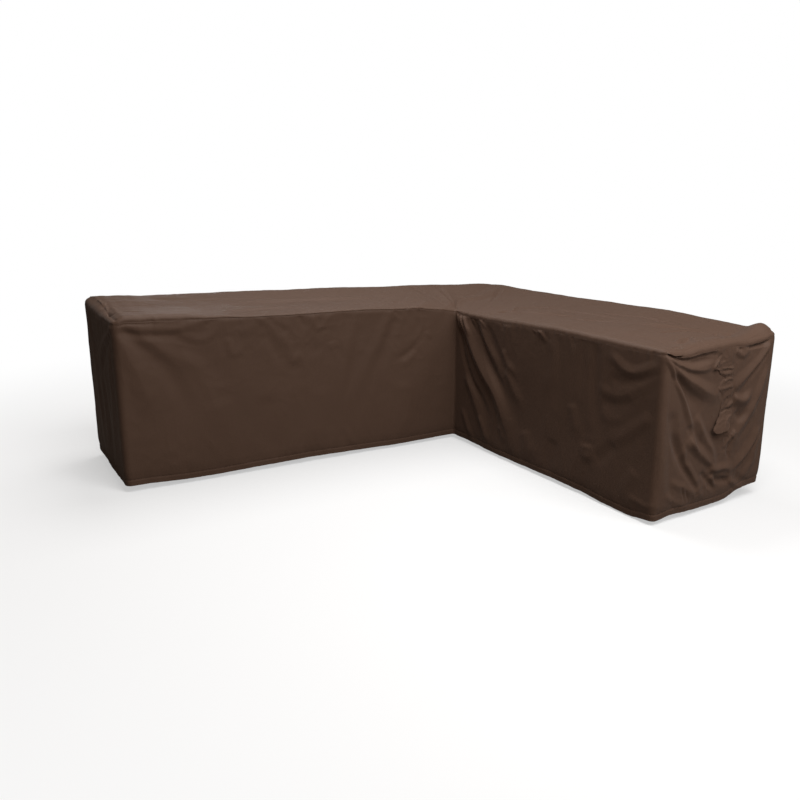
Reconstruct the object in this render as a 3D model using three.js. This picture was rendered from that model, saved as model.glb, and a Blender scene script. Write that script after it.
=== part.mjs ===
import * as THREE from 'three';

// Fitted rain cover for an L-shaped corner bench, as it hangs: one L-shaped top, four skirt lengths
// sewn end to end round it, and a loose flap sewn over an air vent beside the end seam.
// Sizes are in millimetres and +Z is up. The plan is drawn round the inner corner of the L, with the
// right wing running towards -Y and the left wing towards -X, and the finished cover is then
// centred on its footprint with the lowest point of its hem at Z = 0.

// The cloth and its seams
const CLOTH_THICKNESS = 2;
const SEAM_GAP = 0.3;
const TOP_ROLL_RADIUS = 14;

// Corners of the L in plan, in the order of a walk with the cloth on the left hand
const corners = {
  inner: { x: -18, y: 11, radius: 16 },
  rightFront: { x: 0, y: -1534, radius: 42 },
  rightBack: { x: 764, y: -1524, radius: 26 },
  outer: { x: 790, y: 645, radius: 95 },
  leftBack: { x: -1926, y: 787, radius: 30 },
  leftFront: { x: -1942, y: 97, radius: 34 },
};

// Each wall runs from one corner to the next. topCells is how many lengths its upper edge is
// divided into, and wallSplit how many columns of the hanging cloth each of those holds.
const TOP_CELLS_ACROSS = 10;
const TOP_CELLS_LEFT_WING = 26;
const TOP_CELLS_RIGHT_WING = 24;
const walls = {
  innerRight: { from: 'inner', to: 'rightFront', topCells: TOP_CELLS_RIGHT_WING, wallSplit: 2 },
  rightEnd: { from: 'rightFront', to: 'rightBack', topCells: TOP_CELLS_ACROSS, wallSplit: 2 },
  backRight: { from: 'rightBack', to: 'outer', topCells: TOP_CELLS_RIGHT_WING, wallSplit: 1 },
  backLeft: { from: 'outer', to: 'leftBack', topCells: TOP_CELLS_LEFT_WING, wallSplit: 1 },
  leftEnd: { from: 'leftBack', to: 'leftFront', topCells: TOP_CELLS_ACROSS, wallSplit: 1 },
  innerLeft: { from: 'leftFront', to: 'inner', topCells: TOP_CELLS_LEFT_WING, wallSplit: 2 },
};
const wallOrder = ['innerRight', 'rightEnd', 'backRight', 'backLeft', 'leftEnd', 'innerLeft'];

// How much closer together the columns stand near the corners, where the folds gather
const CROWDING_AT_CORNERS = 0.4;

// Height of the top's edge along each wall: at is the share of the wall's length
const edgeHeights = {
  innerRight: [
    { at: 0, height: 767 },
    { at: 0.15, height: 771 },
    { at: 0.28, height: 778 },
    { at: 0.4, height: 786 },
    { at: 0.56, height: 797 },
    { at: 0.74, height: 801 },
    { at: 0.9, height: 811 },
    { at: 1, height: 807 },
  ],
  rightEnd: [
    { at: 0, height: 807 },
    { at: 0.07, height: 793 },
    { at: 0.16, height: 785 },
    { at: 0.3, height: 791 },
    { at: 0.45, height: 801 },
    { at: 0.6, height: 807 },
    { at: 0.74, height: 799 },
    { at: 0.86, height: 805 },
    { at: 1, height: 822 },
  ],
  backRight: [
    { at: 0, height: 822 },
    { at: 0.03, height: 836 },
    { at: 0.07, height: 823 },
    { at: 0.14, height: 826 },
    { at: 0.3, height: 832 },
    { at: 0.45, height: 822 },
    { at: 0.69, height: 807 },
    { at: 0.88, height: 799 },
    { at: 1, height: 801 },
  ],
  backLeft: [
    { at: 0, height: 801 },
    { at: 0.07, height: 815 },
    { at: 0.29, height: 836 },
    { at: 0.52, height: 857 },
    { at: 0.73, height: 871 },
    { at: 0.87, height: 878 },
    { at: 0.95, height: 888 },
    { at: 1, height: 885 },
  ],
  leftEnd: [
    { at: 0, height: 885 },
    { at: 0.3, height: 877 },
    { at: 0.6, height: 863 },
    { at: 0.85, height: 857 },
    { at: 1, height: 849 },
  ],
  innerLeft: [
    { at: 0, height: 849 },
    { at: 0.07, height: 851 },
    { at: 0.16, height: 839 },
    { at: 0.26, height: 835 },
    { at: 0.47, height: 820 },
    { at: 0.66, height: 812 },
    { at: 0.85, height: 795 },
    { at: 0.95, height: 776 },
    { at: 1, height: 767 },
  ],
};

// Height of the hem along each wall
const hemHeights = {
  innerRight: [
    { at: 0, height: 16 },
    { at: 0.3, height: 8 },
    { at: 0.6, height: 12 },
    { at: 0.9, height: 0 },
    { at: 1, height: 20 },
  ],
  rightEnd: [
    { at: 0, height: 20 },
    { at: 0.15, height: 24 },
    { at: 0.38, height: 16 },
    { at: 0.6, height: 24 },
    { at: 0.85, height: 50 },
    { at: 1, height: 62 },
  ],
  backRight: [
    { at: 0, height: 62 },
    { at: 0.2, height: 44 },
    { at: 0.5, height: 34 },
    { at: 0.75, height: 40 },
    { at: 1, height: 30 },
  ],
  backLeft: [
    { at: 0, height: 30 },
    { at: 0.25, height: 38 },
    { at: 0.5, height: 28 },
    { at: 0.8, height: 36 },
    { at: 1, height: 34 },
  ],
  leftEnd: [
    { at: 0, height: 34 },
    { at: 0.5, height: 26 },
    { at: 1, height: 28 },
  ],
  innerLeft: [
    { at: 0, height: 28 },
    { at: 0.2, height: 16 },
    { at: 0.5, height: 22 },
    { at: 0.8, height: 12 },
    { at: 1, height: 16 },
  ],
};

// Main folds of the hanging cloth. A fold runs from one place on its wall to another, each place
// given as the distance along the wall and the drop below the top's edge. Its half width grows from
// fromWidth to toWidth, and rise is how far it stands out of the wall, or into it where negative.
const wallFolds = [
  // Fan of folds that spreads from the inner corner across the right wing
  { wall: 'innerRight', along: 70, drop: 0, toAlong: 460, toDrop: 500, fromWidth: 16, toWidth: 46, rise: 34 },
  { wall: 'innerRight', along: 150, drop: 10, toAlong: 560, toDrop: 480, fromWidth: 22, toWidth: 44, rise: -22 },
  { wall: 'innerRight', along: 30, drop: 20, toAlong: 300, toDrop: 640, fromWidth: 18, toWidth: 46, rise: -24 },
  { wall: 'innerRight', along: 205, drop: 20, toAlong: 640, toDrop: 560, fromWidth: 22, toWidth: 40, rise: 16 },
  { wall: 'innerRight', along: 450, drop: 110, toAlong: 800, toDrop: 600, fromWidth: 34, toWidth: 54, rise: 16 },
  { wall: 'innerRight', along: 30, drop: 330, toAlong: 120, toDrop: 760, fromWidth: 24, toWidth: 44, rise: 18 },
  { wall: 'innerRight', along: 900, drop: 60, toAlong: 1040, toDrop: 760, fromWidth: 60, toWidth: 90, rise: 12 },
  { wall: 'innerRight', along: 1250, drop: 260, toAlong: 1400, toDrop: 790, fromWidth: 60, toWidth: 80, rise: -16 },
  // Folds of the right wing's end, falling from both of its corners
  { wall: 'rightEnd', along: 34, drop: 20, toAlong: 350, toDrop: 230, fromWidth: 18, toWidth: 30, rise: 20 },
  { wall: 'rightEnd', along: 70, drop: 40, toAlong: 380, toDrop: 140, fromWidth: 16, toWidth: 24, rise: -18 },
  { wall: 'rightEnd', along: 30, drop: 60, toAlong: 270, toDrop: 500, fromWidth: 18, toWidth: 40, rise: 18 },
  { wall: 'rightEnd', along: 120, drop: 160, toAlong: 300, toDrop: 620, fromWidth: 30, toWidth: 48, rise: -20 },
  { wall: 'rightEnd', along: 730, drop: 20, toAlong: 510, toDrop: 240, fromWidth: 18, toWidth: 34, rise: 22 },
  { wall: 'rightEnd', along: 680, drop: 150, toAlong: 540, toDrop: 330, fromWidth: 24, toWidth: 32, rise: -20 },
  { wall: 'rightEnd', along: 705, drop: 350, toAlong: 525, toDrop: 640, fromWidth: 26, toWidth: 30, rise: 16 },
  { wall: 'rightEnd', along: 640, drop: 560, toAlong: 560, toDrop: 740, fromWidth: 24, toWidth: 30, rise: -12 },
  { wall: 'rightEnd', along: 180, drop: 560, toAlong: 330, toDrop: 740, fromWidth: 30, toWidth: 36, rise: 14 },
  // Folds of the left wing's front, falling from its end and hanging in swags under its edge
  { wall: 'innerLeft', along: 26, drop: 20, toAlong: 130, toDrop: 420, fromWidth: 20, toWidth: 60, rise: 28 },
  { wall: 'innerLeft', along: 130, drop: 60, toAlong: 260, toDrop: 420, fromWidth: 34, toWidth: 56, rise: -22 },
  { wall: 'innerLeft', along: 190, drop: 40, toAlong: 480, toDrop: 26, fromWidth: 26, toWidth: 22, rise: 14 },
  { wall: 'innerLeft', along: 560, drop: 170, toAlong: 820, toDrop: 520, fromWidth: 50, toWidth: 70, rise: 16 },
  { wall: 'innerLeft', along: 980, drop: 120, toAlong: 900, toDrop: 620, fromWidth: 44, toWidth: 70, rise: -14 },
  { wall: 'innerLeft', along: 1250, drop: 80, toAlong: 1400, toDrop: 700, fromWidth: 40, toWidth: 70, rise: 13 },
  { wall: 'innerLeft', along: 1700, drop: 120, toAlong: 1640, toDrop: 720, fromWidth: 40, toWidth: 60, rise: 14 },
  // Folds of the left wing's end
  { wall: 'leftEnd', along: 520, drop: 60, toAlong: 440, toDrop: 700, fromWidth: 30, toWidth: 50, rise: 18 },
  { wall: 'leftEnd', along: 600, drop: 30, toAlong: 560, toDrop: 500, fromWidth: 24, toWidth: 40, rise: -14 },
  { wall: 'leftEnd', along: 210, drop: 80, toAlong: 170, toDrop: 720, fromWidth: 40, toWidth: 60, rise: 14 },
  // Long plain folds of the back
  { wall: 'backRight', along: 60, drop: 60, toAlong: 260, toDrop: 640, fromWidth: 30, toWidth: 60, rise: 18 },
  { wall: 'backRight', along: 620, drop: 120, toAlong: 560, toDrop: 760, fromWidth: 50, toWidth: 80, rise: 16 },
  { wall: 'backRight', along: 1120, drop: 90, toAlong: 1200, toDrop: 760, fromWidth: 60, toWidth: 80, rise: -14 },
  { wall: 'backRight', along: 1700, drop: 60, toAlong: 1600, toDrop: 740, fromWidth: 50, toWidth: 80, rise: 16 },
  { wall: 'backLeft', along: 250, drop: 60, toAlong: 380, toDrop: 740, fromWidth: 50, toWidth: 80, rise: 16 },
  { wall: 'backLeft', along: 900, drop: 120, toAlong: 840, toDrop: 780, fromWidth: 60, toWidth: 80, rise: -14 },
  { wall: 'backLeft', along: 1500, drop: 80, toAlong: 1600, toDrop: 780, fromWidth: 50, toWidth: 90, rise: 17 },
  { wall: 'backLeft', along: 2200, drop: 60, toAlong: 2100, toDrop: 800, fromWidth: 50, toWidth: 80, rise: 15 },
  { wall: 'backLeft', along: 2580, drop: 60, toAlong: 2480, toDrop: 640, fromWidth: 26, toWidth: 60, rise: 18 },
];

// Humps and hollows of the top: reachAlong lies along X and reachAcross along Y
const topForms = [
  { name: 'roll over the arm at the right end', x: 712, y: -1452, reachAlong: 60, reachAcross: 62, rise: 20 },
  { name: 'hollow before that roll', x: 560, y: -1380, reachAlong: 110, reachAcross: 120, rise: -8 },
  { name: 'edge of a seat back under the right wing', x: 640, y: -820, reachAlong: 80, reachAcross: 260, rise: 8 },
  { name: 'slack of the right wing', x: 360, y: -700, reachAlong: 190, reachAcross: 520, rise: -16 },
  { name: 'slack at the corner', x: 380, y: 330, reachAlong: 260, reachAcross: 200, rise: -8 },
  { name: 'slack of the left wing', x: -900, y: 400, reachAlong: 650, reachAcross: 170, rise: -14 },
  { name: 'roll over the arm at the left end', x: -1850, y: 640, reachAlong: 90, reachAcross: 110, rise: 8 },
];

// How far down the wall each row of the hanging cloth lies, as a share of its height
const frontRows = [0, 0.03, 0.08, 0.15, 0.23, 0.32, 0.42, 0.53, 0.64, 0.75, 0.86, 0.95, 1];
const backRows = [0, 0.04, 0.12, 0.24, 0.38, 0.54, 0.7, 0.86, 1];
const FOLD_FADE_UNDER_EDGE = 55;
const HEM_DRAWN_IN = 5;

// Seams of the skirt: distance from the wall's first corner
const RIGHT_END_SEAM = 490;
const LEFT_END_SEAM = 340;

// Vent flap: it lies against the right end beside the seam and lifts off towards its lower edge
const FLAP_WIDTH = 120;
const FLAP_TOP_DROP = 24;
const FLAP_BOTTOM_DROP = 425;
const FLAP_LIFT_START = 250;
const FLAP_LIFT_END = 385;
const FLAP_LIFT = 44;
const FLAP_CLEARANCE = 1.4;
const FLAP_PUFF = 5;
const FLAP_COLUMNS = 5;
const FLAP_ROWS = 14;

const CLOTH_COLOUR = 0x4b3a31;
const CLOTH_ROUGHNESS = 0.62;

function smoothStep(value) {
  const clamped = Math.min(Math.max(value, 0), 1);
  return clamped * clamped * (3 - 2 * clamped);
}

function mix(a, b, share) {
  return a + (b - a) * share;
}

// Smooth height between the rows of a table
function heightAt(table, share) {
  let index = 0;
  while (index < table.length - 2 && share > table[index + 1].at) {
    index += 1;
  }
  const before = table[index];
  const after = table[index + 1];
  return mix(before.height, after.height, smoothStep((share - before.at) / (after.at - before.at)));
}

// Plan geometry of the walls, with each corner rounded by half an arc at either end
function prepareWalls() {
  for (const name of wallOrder) {
    const wall = walls[name];
    const start = corners[wall.from];
    const end = corners[wall.to];
    const run = new THREE.Vector2(end.x - start.x, end.y - start.y);
    wall.heading = Math.atan2(run.y, run.x);
    wall.direction = run.clone().normalize();
    wall.cornerDistance = run.length();
  }
  wallOrder.forEach((name, index) => {
    const next = walls[wallOrder[(index + 1) % wallOrder.length]];
    const turn = Math.atan2(
      Math.sin(next.heading - walls[name].heading),
      Math.cos(next.heading - walls[name].heading)
    );
    walls[name].turnAtEnd = turn;
    next.turnAtStart = turn;
  });
  for (const name of wallOrder) {
    const wall = walls[name];
    const startRadius = corners[wall.from].radius;
    const endRadius = corners[wall.to].radius;
    wall.startTrim = startRadius * Math.tan(Math.abs(wall.turnAtStart) / 2);
    wall.endTrim = endRadius * Math.tan(Math.abs(wall.turnAtEnd) / 2);
    wall.startArc = (startRadius * Math.abs(wall.turnAtStart)) / 2;
    wall.endArc = (endRadius * Math.abs(wall.turnAtEnd)) / 2;
    wall.straight = wall.cornerDistance - wall.startTrim - wall.endTrim;
    wall.length = wall.startArc + wall.straight + wall.endArc;
  }
}

function pointOnArc(centre, radius, turn, angle) {
  const side = Math.sign(turn);
  return {
    x: centre.x + side * radius * Math.cos(angle),
    y: centre.y + side * radius * Math.sin(angle),
    outward: new THREE.Vector2(Math.cos(angle), Math.sin(angle)),
  };
}

// Place on the outline of the L at a distance along a wall, and the way that faces outwards there
function outlinePoint(name, along) {
  const wall = walls[name];
  const outwardAngle = wall.heading - Math.PI / 2;
  const outward = new THREE.Vector2(Math.cos(outwardAngle), Math.sin(outwardAngle));
  const start = corners[wall.from];
  const end = corners[wall.to];
  if (along < wall.startArc) {
    const side = Math.sign(wall.turnAtStart);
    const centre = {
      x: start.x + wall.direction.x * wall.startTrim - side * outward.x * start.radius,
      y: start.y + wall.direction.y * wall.startTrim - side * outward.y * start.radius,
    };
    const angle = outwardAngle - (wall.turnAtStart / 2) * (1 - along / wall.startArc);
    return pointOnArc(centre, start.radius, wall.turnAtStart, angle);
  }
  const pastStraight = along - wall.startArc - wall.straight;
  if (pastStraight > 0) {
    const side = Math.sign(wall.turnAtEnd);
    const centre = {
      x: end.x - wall.direction.x * wall.endTrim - side * outward.x * end.radius,
      y: end.y - wall.direction.y * wall.endTrim - side * outward.y * end.radius,
    };
    const angle = outwardAngle + (wall.turnAtEnd / 2) * (pastStraight / wall.endArc);
    return pointOnArc(centre, end.radius, wall.turnAtEnd, angle);
  }
  const fromCorner = along - wall.startArc + wall.startTrim;
  return {
    x: start.x + wall.direction.x * fromCorner,
    y: start.y + wall.direction.y * fromCorner,
    outward,
  };
}

// Distances along a wall where its upper edge has a point: the arcs' ends, then closer near corners
function edgeStations(name) {
  const wall = walls[name];
  const cells = wall.topCells - 2;
  const stations = [0];
  for (let cell = 0; cell <= cells; cell += 1) {
    const share = cell / cells;
    const crowded = share - (CROWDING_AT_CORNERS * Math.sin(2 * Math.PI * share)) / (2 * Math.PI);
    stations.push(wall.startArc + wall.straight * crowded);
  }
  stations.push(wall.length);
  return stations;
}

// Point of the top's edge at a station, sunk by a drop and set in from the outline
function edgePoint(name, along, setIn, sunk) {
  const place = outlinePoint(name, along);
  const height = heightAt(edgeHeights[name], along / walls[name].length);
  return {
    position: new THREE.Vector3(
      place.x - place.outward.x * setIn,
      place.y - place.outward.y * setIn,
      height - sunk
    ),
    inward: new THREE.Vector3(-place.outward.x, -place.outward.y, 0),
  };
}

// The upper edge of the hanging cloth lies on the straight stretches between the stations
function seamPoint(name, along) {
  const stations = edgeStations(name);
  let index = 0;
  while (index < stations.length - 2 && along > stations[index + 1]) {
    index += 1;
  }
  const share = (along - stations[index]) / (stations[index + 1] - stations[index]);
  const before = edgePoint(name, stations[index], 0, TOP_ROLL_RADIUS);
  const after = edgePoint(name, stations[index + 1], 0, TOP_ROLL_RADIUS);
  return {
    position: before.position.clone().lerp(after.position, share),
    inward: before.inward.clone().lerp(after.inward, share),
  };
}

// How far the main folds push a place on a wall out or in
function foldOffset(name, along, drop) {
  let offset = 0;
  for (const fold of wallFolds) {
    if (fold.wall !== name) {
      continue;
    }
    const runAlong = fold.toAlong - fold.along;
    const runDrop = fold.toDrop - fold.drop;
    const length = Math.hypot(runAlong, runDrop);
    const forward = ((along - fold.along) * runAlong + (drop - fold.drop) * runDrop) / length;
    const aside = ((along - fold.along) * runDrop - (drop - fold.drop) * runAlong) / length;
    const share = forward / length;
    const halfWidth = mix(fold.fromWidth, fold.toWidth, Math.min(Math.max(share, 0), 1));
    const ends = smoothStep(share / 0.18 + 0.35) * smoothStep((1.2 - share) / 0.45);
    offset += fold.rise * ends * Math.exp(-((aside / halfWidth) ** 2));
  }
  return offset * smoothStep(drop / FOLD_FADE_UNDER_EDGE);
}

// Place on a hanging wall at a distance along it and a share of the way down
function wallPoint(name, along, shareDown) {
  const edge = seamPoint(name, along);
  const top = edge.position.z - SEAM_GAP;
  if (shareDown === 0) {
    edge.position.z = top;
    return edge;
  }
  const wall = walls[name];
  const hem = heightAt(hemHeights[name], along / wall.length);
  const drop = (top - hem) * shareDown;
  const place = outlinePoint(name, along);
  const cornerHold = smoothStep(along / 60) * smoothStep((wall.length - along) / 60);
  const drawnIn = HEM_DRAWN_IN * smoothStep((shareDown - 0.9) / 0.1);
  const offset = foldOffset(name, along, drop) * cornerHold - drawnIn;
  return {
    position: new THREE.Vector3(
      place.x + place.outward.x * offset,
      place.y + place.outward.y * offset,
      top - drop
    ),
    inward: new THREE.Vector3(-place.outward.x, -place.outward.y, 0),
  };
}

// Closed thin sheet from the points of its outer face, with an edge strip wherever the face ends
function closedSheet(points, quads) {
  const positions = [];
  for (const point of points) {
    positions.push(point.position.x, point.position.y, point.position.z);
  }
  for (const point of points) {
    const inner = point.position.clone().addScaledVector(point.inward, CLOTH_THICKNESS);
    positions.push(inner.x, inner.y, inner.z);
  }
  const innerStart = points.length;
  const triangles = [];
  const directedEdges = new Set();
  for (const [a, b, c, d] of quads) {
    triangles.push(a, b, c, a, c, d);
    triangles.push(innerStart + a, innerStart + c, innerStart + b);
    triangles.push(innerStart + a, innerStart + d, innerStart + c);
    for (const [from, to] of [[a, b], [b, c], [c, d], [d, a]]) {
      directedEdges.add(`${from}_${to}`);
    }
  }
  for (const edge of directedEdges) {
    const [from, to] = edge.split('_').map(Number);
    if (!directedEdges.has(`${to}_${from}`)) {
      triangles.push(from, innerStart + from, innerStart + to);
      triangles.push(from, innerStart + to, to);
    }
  }
  const geometry = new THREE.BufferGeometry();
  geometry.setAttribute('position', new THREE.Float32BufferAttribute(positions, 3));
  geometry.setIndex(triangles);
  geometry.computeVertexNormals();
  return geometry;
}

function clothMesh(name, geometry) {
  const material = new THREE.MeshStandardMaterial({
    color: CLOTH_COLOUR,
    roughness: CLOTH_ROUGHNESS,
    metalness: 0,
  });
  const mesh = new THREE.Mesh(geometry, material);
  mesh.name = name;
  return mesh;
}

// Columns of a wall between two distances: every edge station, each length split as the wall says
function wallColumns(name, fromAlong, toAlong) {
  const stations = edgeStations(name);
  const columns = [fromAlong];
  for (let index = 0; index < stations.length - 1; index += 1) {
    for (let part = 0; part < walls[name].wallSplit; part += 1) {
      const along = mix(stations[index], stations[index + 1], part / walls[name].wallSplit);
      if (along > fromAlong + 1 && along < toAlong - 1) {
        columns.push(along);
      }
    }
  }
  columns.push(toAlong);
  return columns.map((along) => ({ wall: name, along }));
}

// One skirt length, cut from two walls that meet at a corner. Each end stops half a gap short.
function skirtPanel(name, first, second, rows) {
  const columns = [
    ...wallColumns(first.wall, first.from + SEAM_GAP / 2, walls[first.wall].length),
    ...wallColumns(second.wall, 0, second.to - SEAM_GAP / 2).slice(1),
  ];
  const points = [];
  for (const column of columns) {
    for (const shareDown of rows) {
      points.push(wallPoint(column.wall, column.along, shareDown));
    }
  }
  const quads = [];
  const rowCount = rows.length;
  for (let column = 0; column < columns.length - 1; column += 1) {
    for (let row = 0; row < rowCount - 1; row += 1) {
      const corner = column * rowCount + row;
      quads.push([corner, corner + 1, corner + rowCount + 1, corner + rowCount]);
    }
  }
  return clothMesh(name, closedSheet(points, quads));
}

function topFormHeight(x, y) {
  let height = 0;
  for (const form of topForms) {
    const across = (x - form.x) / form.reachAlong;
    const along = (y - form.y) / form.reachAcross;
    height += form.rise * Math.exp(-(across * across) - along * along);
  }
  return height;
}

// Patch between four edges, each a list of points: two long ones and the two that close them
function patchPoint(longFirst, longSecond, closeStart, closeEnd, i, j) {
  const u = i / (longFirst.length - 1);
  const v = j / (closeStart.length - 1);
  const ruledLong = longFirst[i].clone().lerp(longSecond[i], v);
  const ruledClose = closeStart[j].clone().lerp(closeEnd[j], u);
  const startSide = longFirst[0].clone().lerp(longSecond[0], v);
  const endSide = longFirst[longFirst.length - 1].clone().lerp(longSecond[longSecond.length - 1], v);
  return ruledLong.add(ruledClose).sub(startSide.lerp(endSide, u));
}

// The L-shaped top: one patch for each wing, meeting on the diagonal, and a rolled edge all round
function topPanel() {
  const edgeOf = (name, setIn, sunk) =>
    edgeStations(name).map((along) => edgePoint(name, along, setIn, sunk));
  const flatEdge = (name) => edgeOf(name, TOP_ROLL_RADIUS, 0).map((point) => point.position);
  const innerLeft = flatEdge('innerLeft');
  const innerRight = flatEdge('innerRight');
  const rightEnd = flatEdge('rightEnd');
  const backRight = flatEdge('backRight').reverse();
  const backLeft = flatEdge('backLeft').reverse();
  const leftEnd = flatEdge('leftEnd').reverse();
  const across = TOP_CELLS_ACROSS;
  const diagonal = [];
  for (let j = 0; j <= across; j += 1) {
    diagonal.push(innerRight[0].clone().lerp(backRight[0], j / across));
  }
  const leftCells = TOP_CELLS_LEFT_WING;
  const cells = leftCells + TOP_CELLS_RIGHT_WING;
  const points = [];
  const down = new THREE.Vector3(0, 0, -1);
  for (let i = 0; i <= cells; i += 1) {
    for (let j = 0; j <= across; j += 1) {
      const position =
        i < leftCells
          ? patchPoint(innerLeft, backLeft, leftEnd, diagonal, i, j)
          : patchPoint(innerRight, backRight, diagonal, rightEnd, i - leftCells, j);
      position.z += topFormHeight(position.x, position.y);
      points.push({ position, inward: down });
    }
  }
  const quads = [];
  const stride = across + 1;
  for (let i = 0; i < cells; i += 1) {
    for (let j = 0; j < across; j += 1) {
      const corner = i * stride + j;
      quads.push([corner, corner + stride, corner + stride + 1, corner + 1]);
    }
  }
  const loop = [];
  for (let i = leftCells; i < cells; i += 1) {
    loop.push(i * stride);
  }
  for (let j = 0; j < across; j += 1) {
    loop.push(cells * stride + j);
  }
  for (let i = cells; i > 0; i -= 1) {
    loop.push(i * stride + across);
  }
  for (let j = across; j > 0; j -= 1) {
    loop.push(j);
  }
  for (let i = 0; i < leftCells; i += 1) {
    loop.push(i * stride);
  }
  // The rolled edge: a ring halfway round the roll and a ring where the skirt is sewn on
  const halfway = 1 - Math.SQRT1_2;
  const rings = [
    { setIn: TOP_ROLL_RADIUS * halfway, sunk: TOP_ROLL_RADIUS * halfway, downShare: 0.7 },
    { setIn: 0, sunk: TOP_ROLL_RADIUS, downShare: 0 },
  ];
  let innerLoop = loop;
  for (const ring of rings) {
    const ringStart = points.length;
    for (const name of wallOrder) {
      for (const point of edgeOf(name, ring.setIn, ring.sunk).slice(0, -1)) {
        point.inward.z = -ring.downShare;
        point.inward.normalize();
        points.push(point);
      }
    }
    const ringLoop = loop.map((_, index) => ringStart + index);
    for (let index = 0; index < loop.length; index += 1) {
      const next = (index + 1) % loop.length;
      quads.push([innerLoop[index], ringLoop[index], ringLoop[next], innerLoop[next]]);
    }
    innerLoop = ringLoop;
  }
  return clothMesh('top_panel', closedSheet(points, quads));
}

// Outer face of the right end at a drop below its seam, on the facets that the skirt really has
function rightEndFacet(along, shareDown) {
  const lastColumn = RIGHT_END_SEAM - SEAM_GAP / 2;
  const stations = wallColumns('rightEnd', 0, lastColumn).map((column) => column.along);
  let column = 0;
  while (column < stations.length - 2 && along > stations[column + 1]) {
    column += 1;
  }
  let row = 0;
  while (row < frontRows.length - 2 && shareDown > frontRows[row + 1]) {
    row += 1;
  }
  const acrossShare = (along - stations[column]) / (stations[column + 1] - stations[column]);
  const downShare = (shareDown - frontRows[row]) / (frontRows[row + 1] - frontRows[row]);
  const corner = (c, r) => wallPoint('rightEnd', stations[c], frontRows[r]).position;
  const upper = corner(column, row).lerp(corner(column + 1, row), acrossShare);
  const lower = corner(column, row + 1).lerp(corner(column + 1, row + 1), acrossShare);
  return upper.lerp(lower, downShare);
}

// The vent flap: sewn along its upper edge and its seam side, free along the rest
function ventFlap() {
  const points = [];
  for (let column = 0; column <= FLAP_COLUMNS; column += 1) {
    const widthShare = column / FLAP_COLUMNS;
    const along = RIGHT_END_SEAM - FLAP_WIDTH + (FLAP_WIDTH - 3) * widthShare;
    const place = outlinePoint('rightEnd', along);
    const height = seamPoint('rightEnd', along).position.z
      - heightAt(hemHeights.rightEnd, along / walls.rightEnd.length);
    for (let row = 0; row <= FLAP_ROWS; row += 1) {
      const drop = mix(FLAP_TOP_DROP, FLAP_BOTTOM_DROP, row / FLAP_ROWS);
      const position = rightEndFacet(along, drop / height);
      const lifted = smoothStep((drop - FLAP_LIFT_START) / (FLAP_LIFT_END - FLAP_LIFT_START));
      const arch = Math.sin(Math.PI * (0.1 + 0.8 * widthShare));
      const puff = FLAP_PUFF * smoothStep(row / 2) * smoothStep((1 - widthShare) / 0.3);
      const standOff = CLOTH_THICKNESS + FLAP_CLEARANCE + puff + FLAP_LIFT * lifted * arch;
      position.x += place.outward.x * standOff;
      position.y += place.outward.y * standOff;
      const inward = new THREE.Vector3(-place.outward.x, -place.outward.y, 0);
      points.push({ position, inward });
    }
  }
  const quads = [];
  const stride = FLAP_ROWS + 1;
  for (let column = 0; column < FLAP_COLUMNS; column += 1) {
    for (let row = 0; row < FLAP_ROWS; row += 1) {
      const corner = column * stride + row;
      quads.push([corner, corner + 1, corner + stride + 1, corner + stride]);
    }
  }
  return clothMesh('vent_flap', closedSheet(points, quads));
}

prepareWalls();

const cover = new THREE.Group();
cover.name = 'corner_bench_cover';
cover.add(topPanel());
cover.add(
  skirtPanel(
    'skirt_inner_right',
    { wall: 'innerRight', from: 0 },
    { wall: 'rightEnd', to: RIGHT_END_SEAM },
    frontRows
  )
);
cover.add(
  skirtPanel(
    'skirt_outer_right',
    { wall: 'rightEnd', from: RIGHT_END_SEAM },
    { wall: 'backRight', to: walls.backRight.length },
    backRows
  )
);
cover.add(
  skirtPanel(
    'skirt_outer_left',
    { wall: 'backLeft', from: 0 },
    { wall: 'leftEnd', to: LEFT_END_SEAM },
    backRows
  )
);
cover.add(
  skirtPanel(
    'skirt_inner_left',
    { wall: 'leftEnd', from: LEFT_END_SEAM },
    { wall: 'innerLeft', to: walls.innerLeft.length },
    frontRows
  )
);
cover.add(ventFlap());

// Centre the footprint on the origin and set the hem's lowest point at Z = 0
const extent = new THREE.Box3().setFromObject(cover);
const middle = extent.getCenter(new THREE.Vector3());
cover.position.set(-middle.x, -middle.y, -extent.min.z);

export default cover;
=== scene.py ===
import math

import bpy
import numpy as np
from mathutils import Matrix, Vector


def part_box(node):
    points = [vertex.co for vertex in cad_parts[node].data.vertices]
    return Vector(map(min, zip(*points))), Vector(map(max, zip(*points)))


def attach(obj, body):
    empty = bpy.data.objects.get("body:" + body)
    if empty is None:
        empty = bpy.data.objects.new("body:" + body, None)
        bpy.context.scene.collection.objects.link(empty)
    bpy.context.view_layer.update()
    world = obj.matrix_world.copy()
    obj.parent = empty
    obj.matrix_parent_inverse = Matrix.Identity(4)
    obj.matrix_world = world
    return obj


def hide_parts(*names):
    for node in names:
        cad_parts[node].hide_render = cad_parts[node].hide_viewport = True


# Dressed model of a fitted rain cover for an L-shaped corner bench: one L-shaped top, four skirt
# lengths sewn end to end round it, a loose vent flap, and the rows of stitching.
# Plan sizes are in millimetres round the inner corner of the L, as a pattern cutter would draw them,
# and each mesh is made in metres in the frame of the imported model.

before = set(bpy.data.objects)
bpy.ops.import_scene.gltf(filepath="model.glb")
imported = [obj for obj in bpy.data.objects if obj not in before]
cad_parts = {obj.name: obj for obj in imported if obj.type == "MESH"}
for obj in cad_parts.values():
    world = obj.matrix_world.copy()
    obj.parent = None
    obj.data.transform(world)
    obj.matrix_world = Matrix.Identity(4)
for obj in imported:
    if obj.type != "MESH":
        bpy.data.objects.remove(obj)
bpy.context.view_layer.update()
bpy.ops.object.select_all(action="DESELECT")

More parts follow.
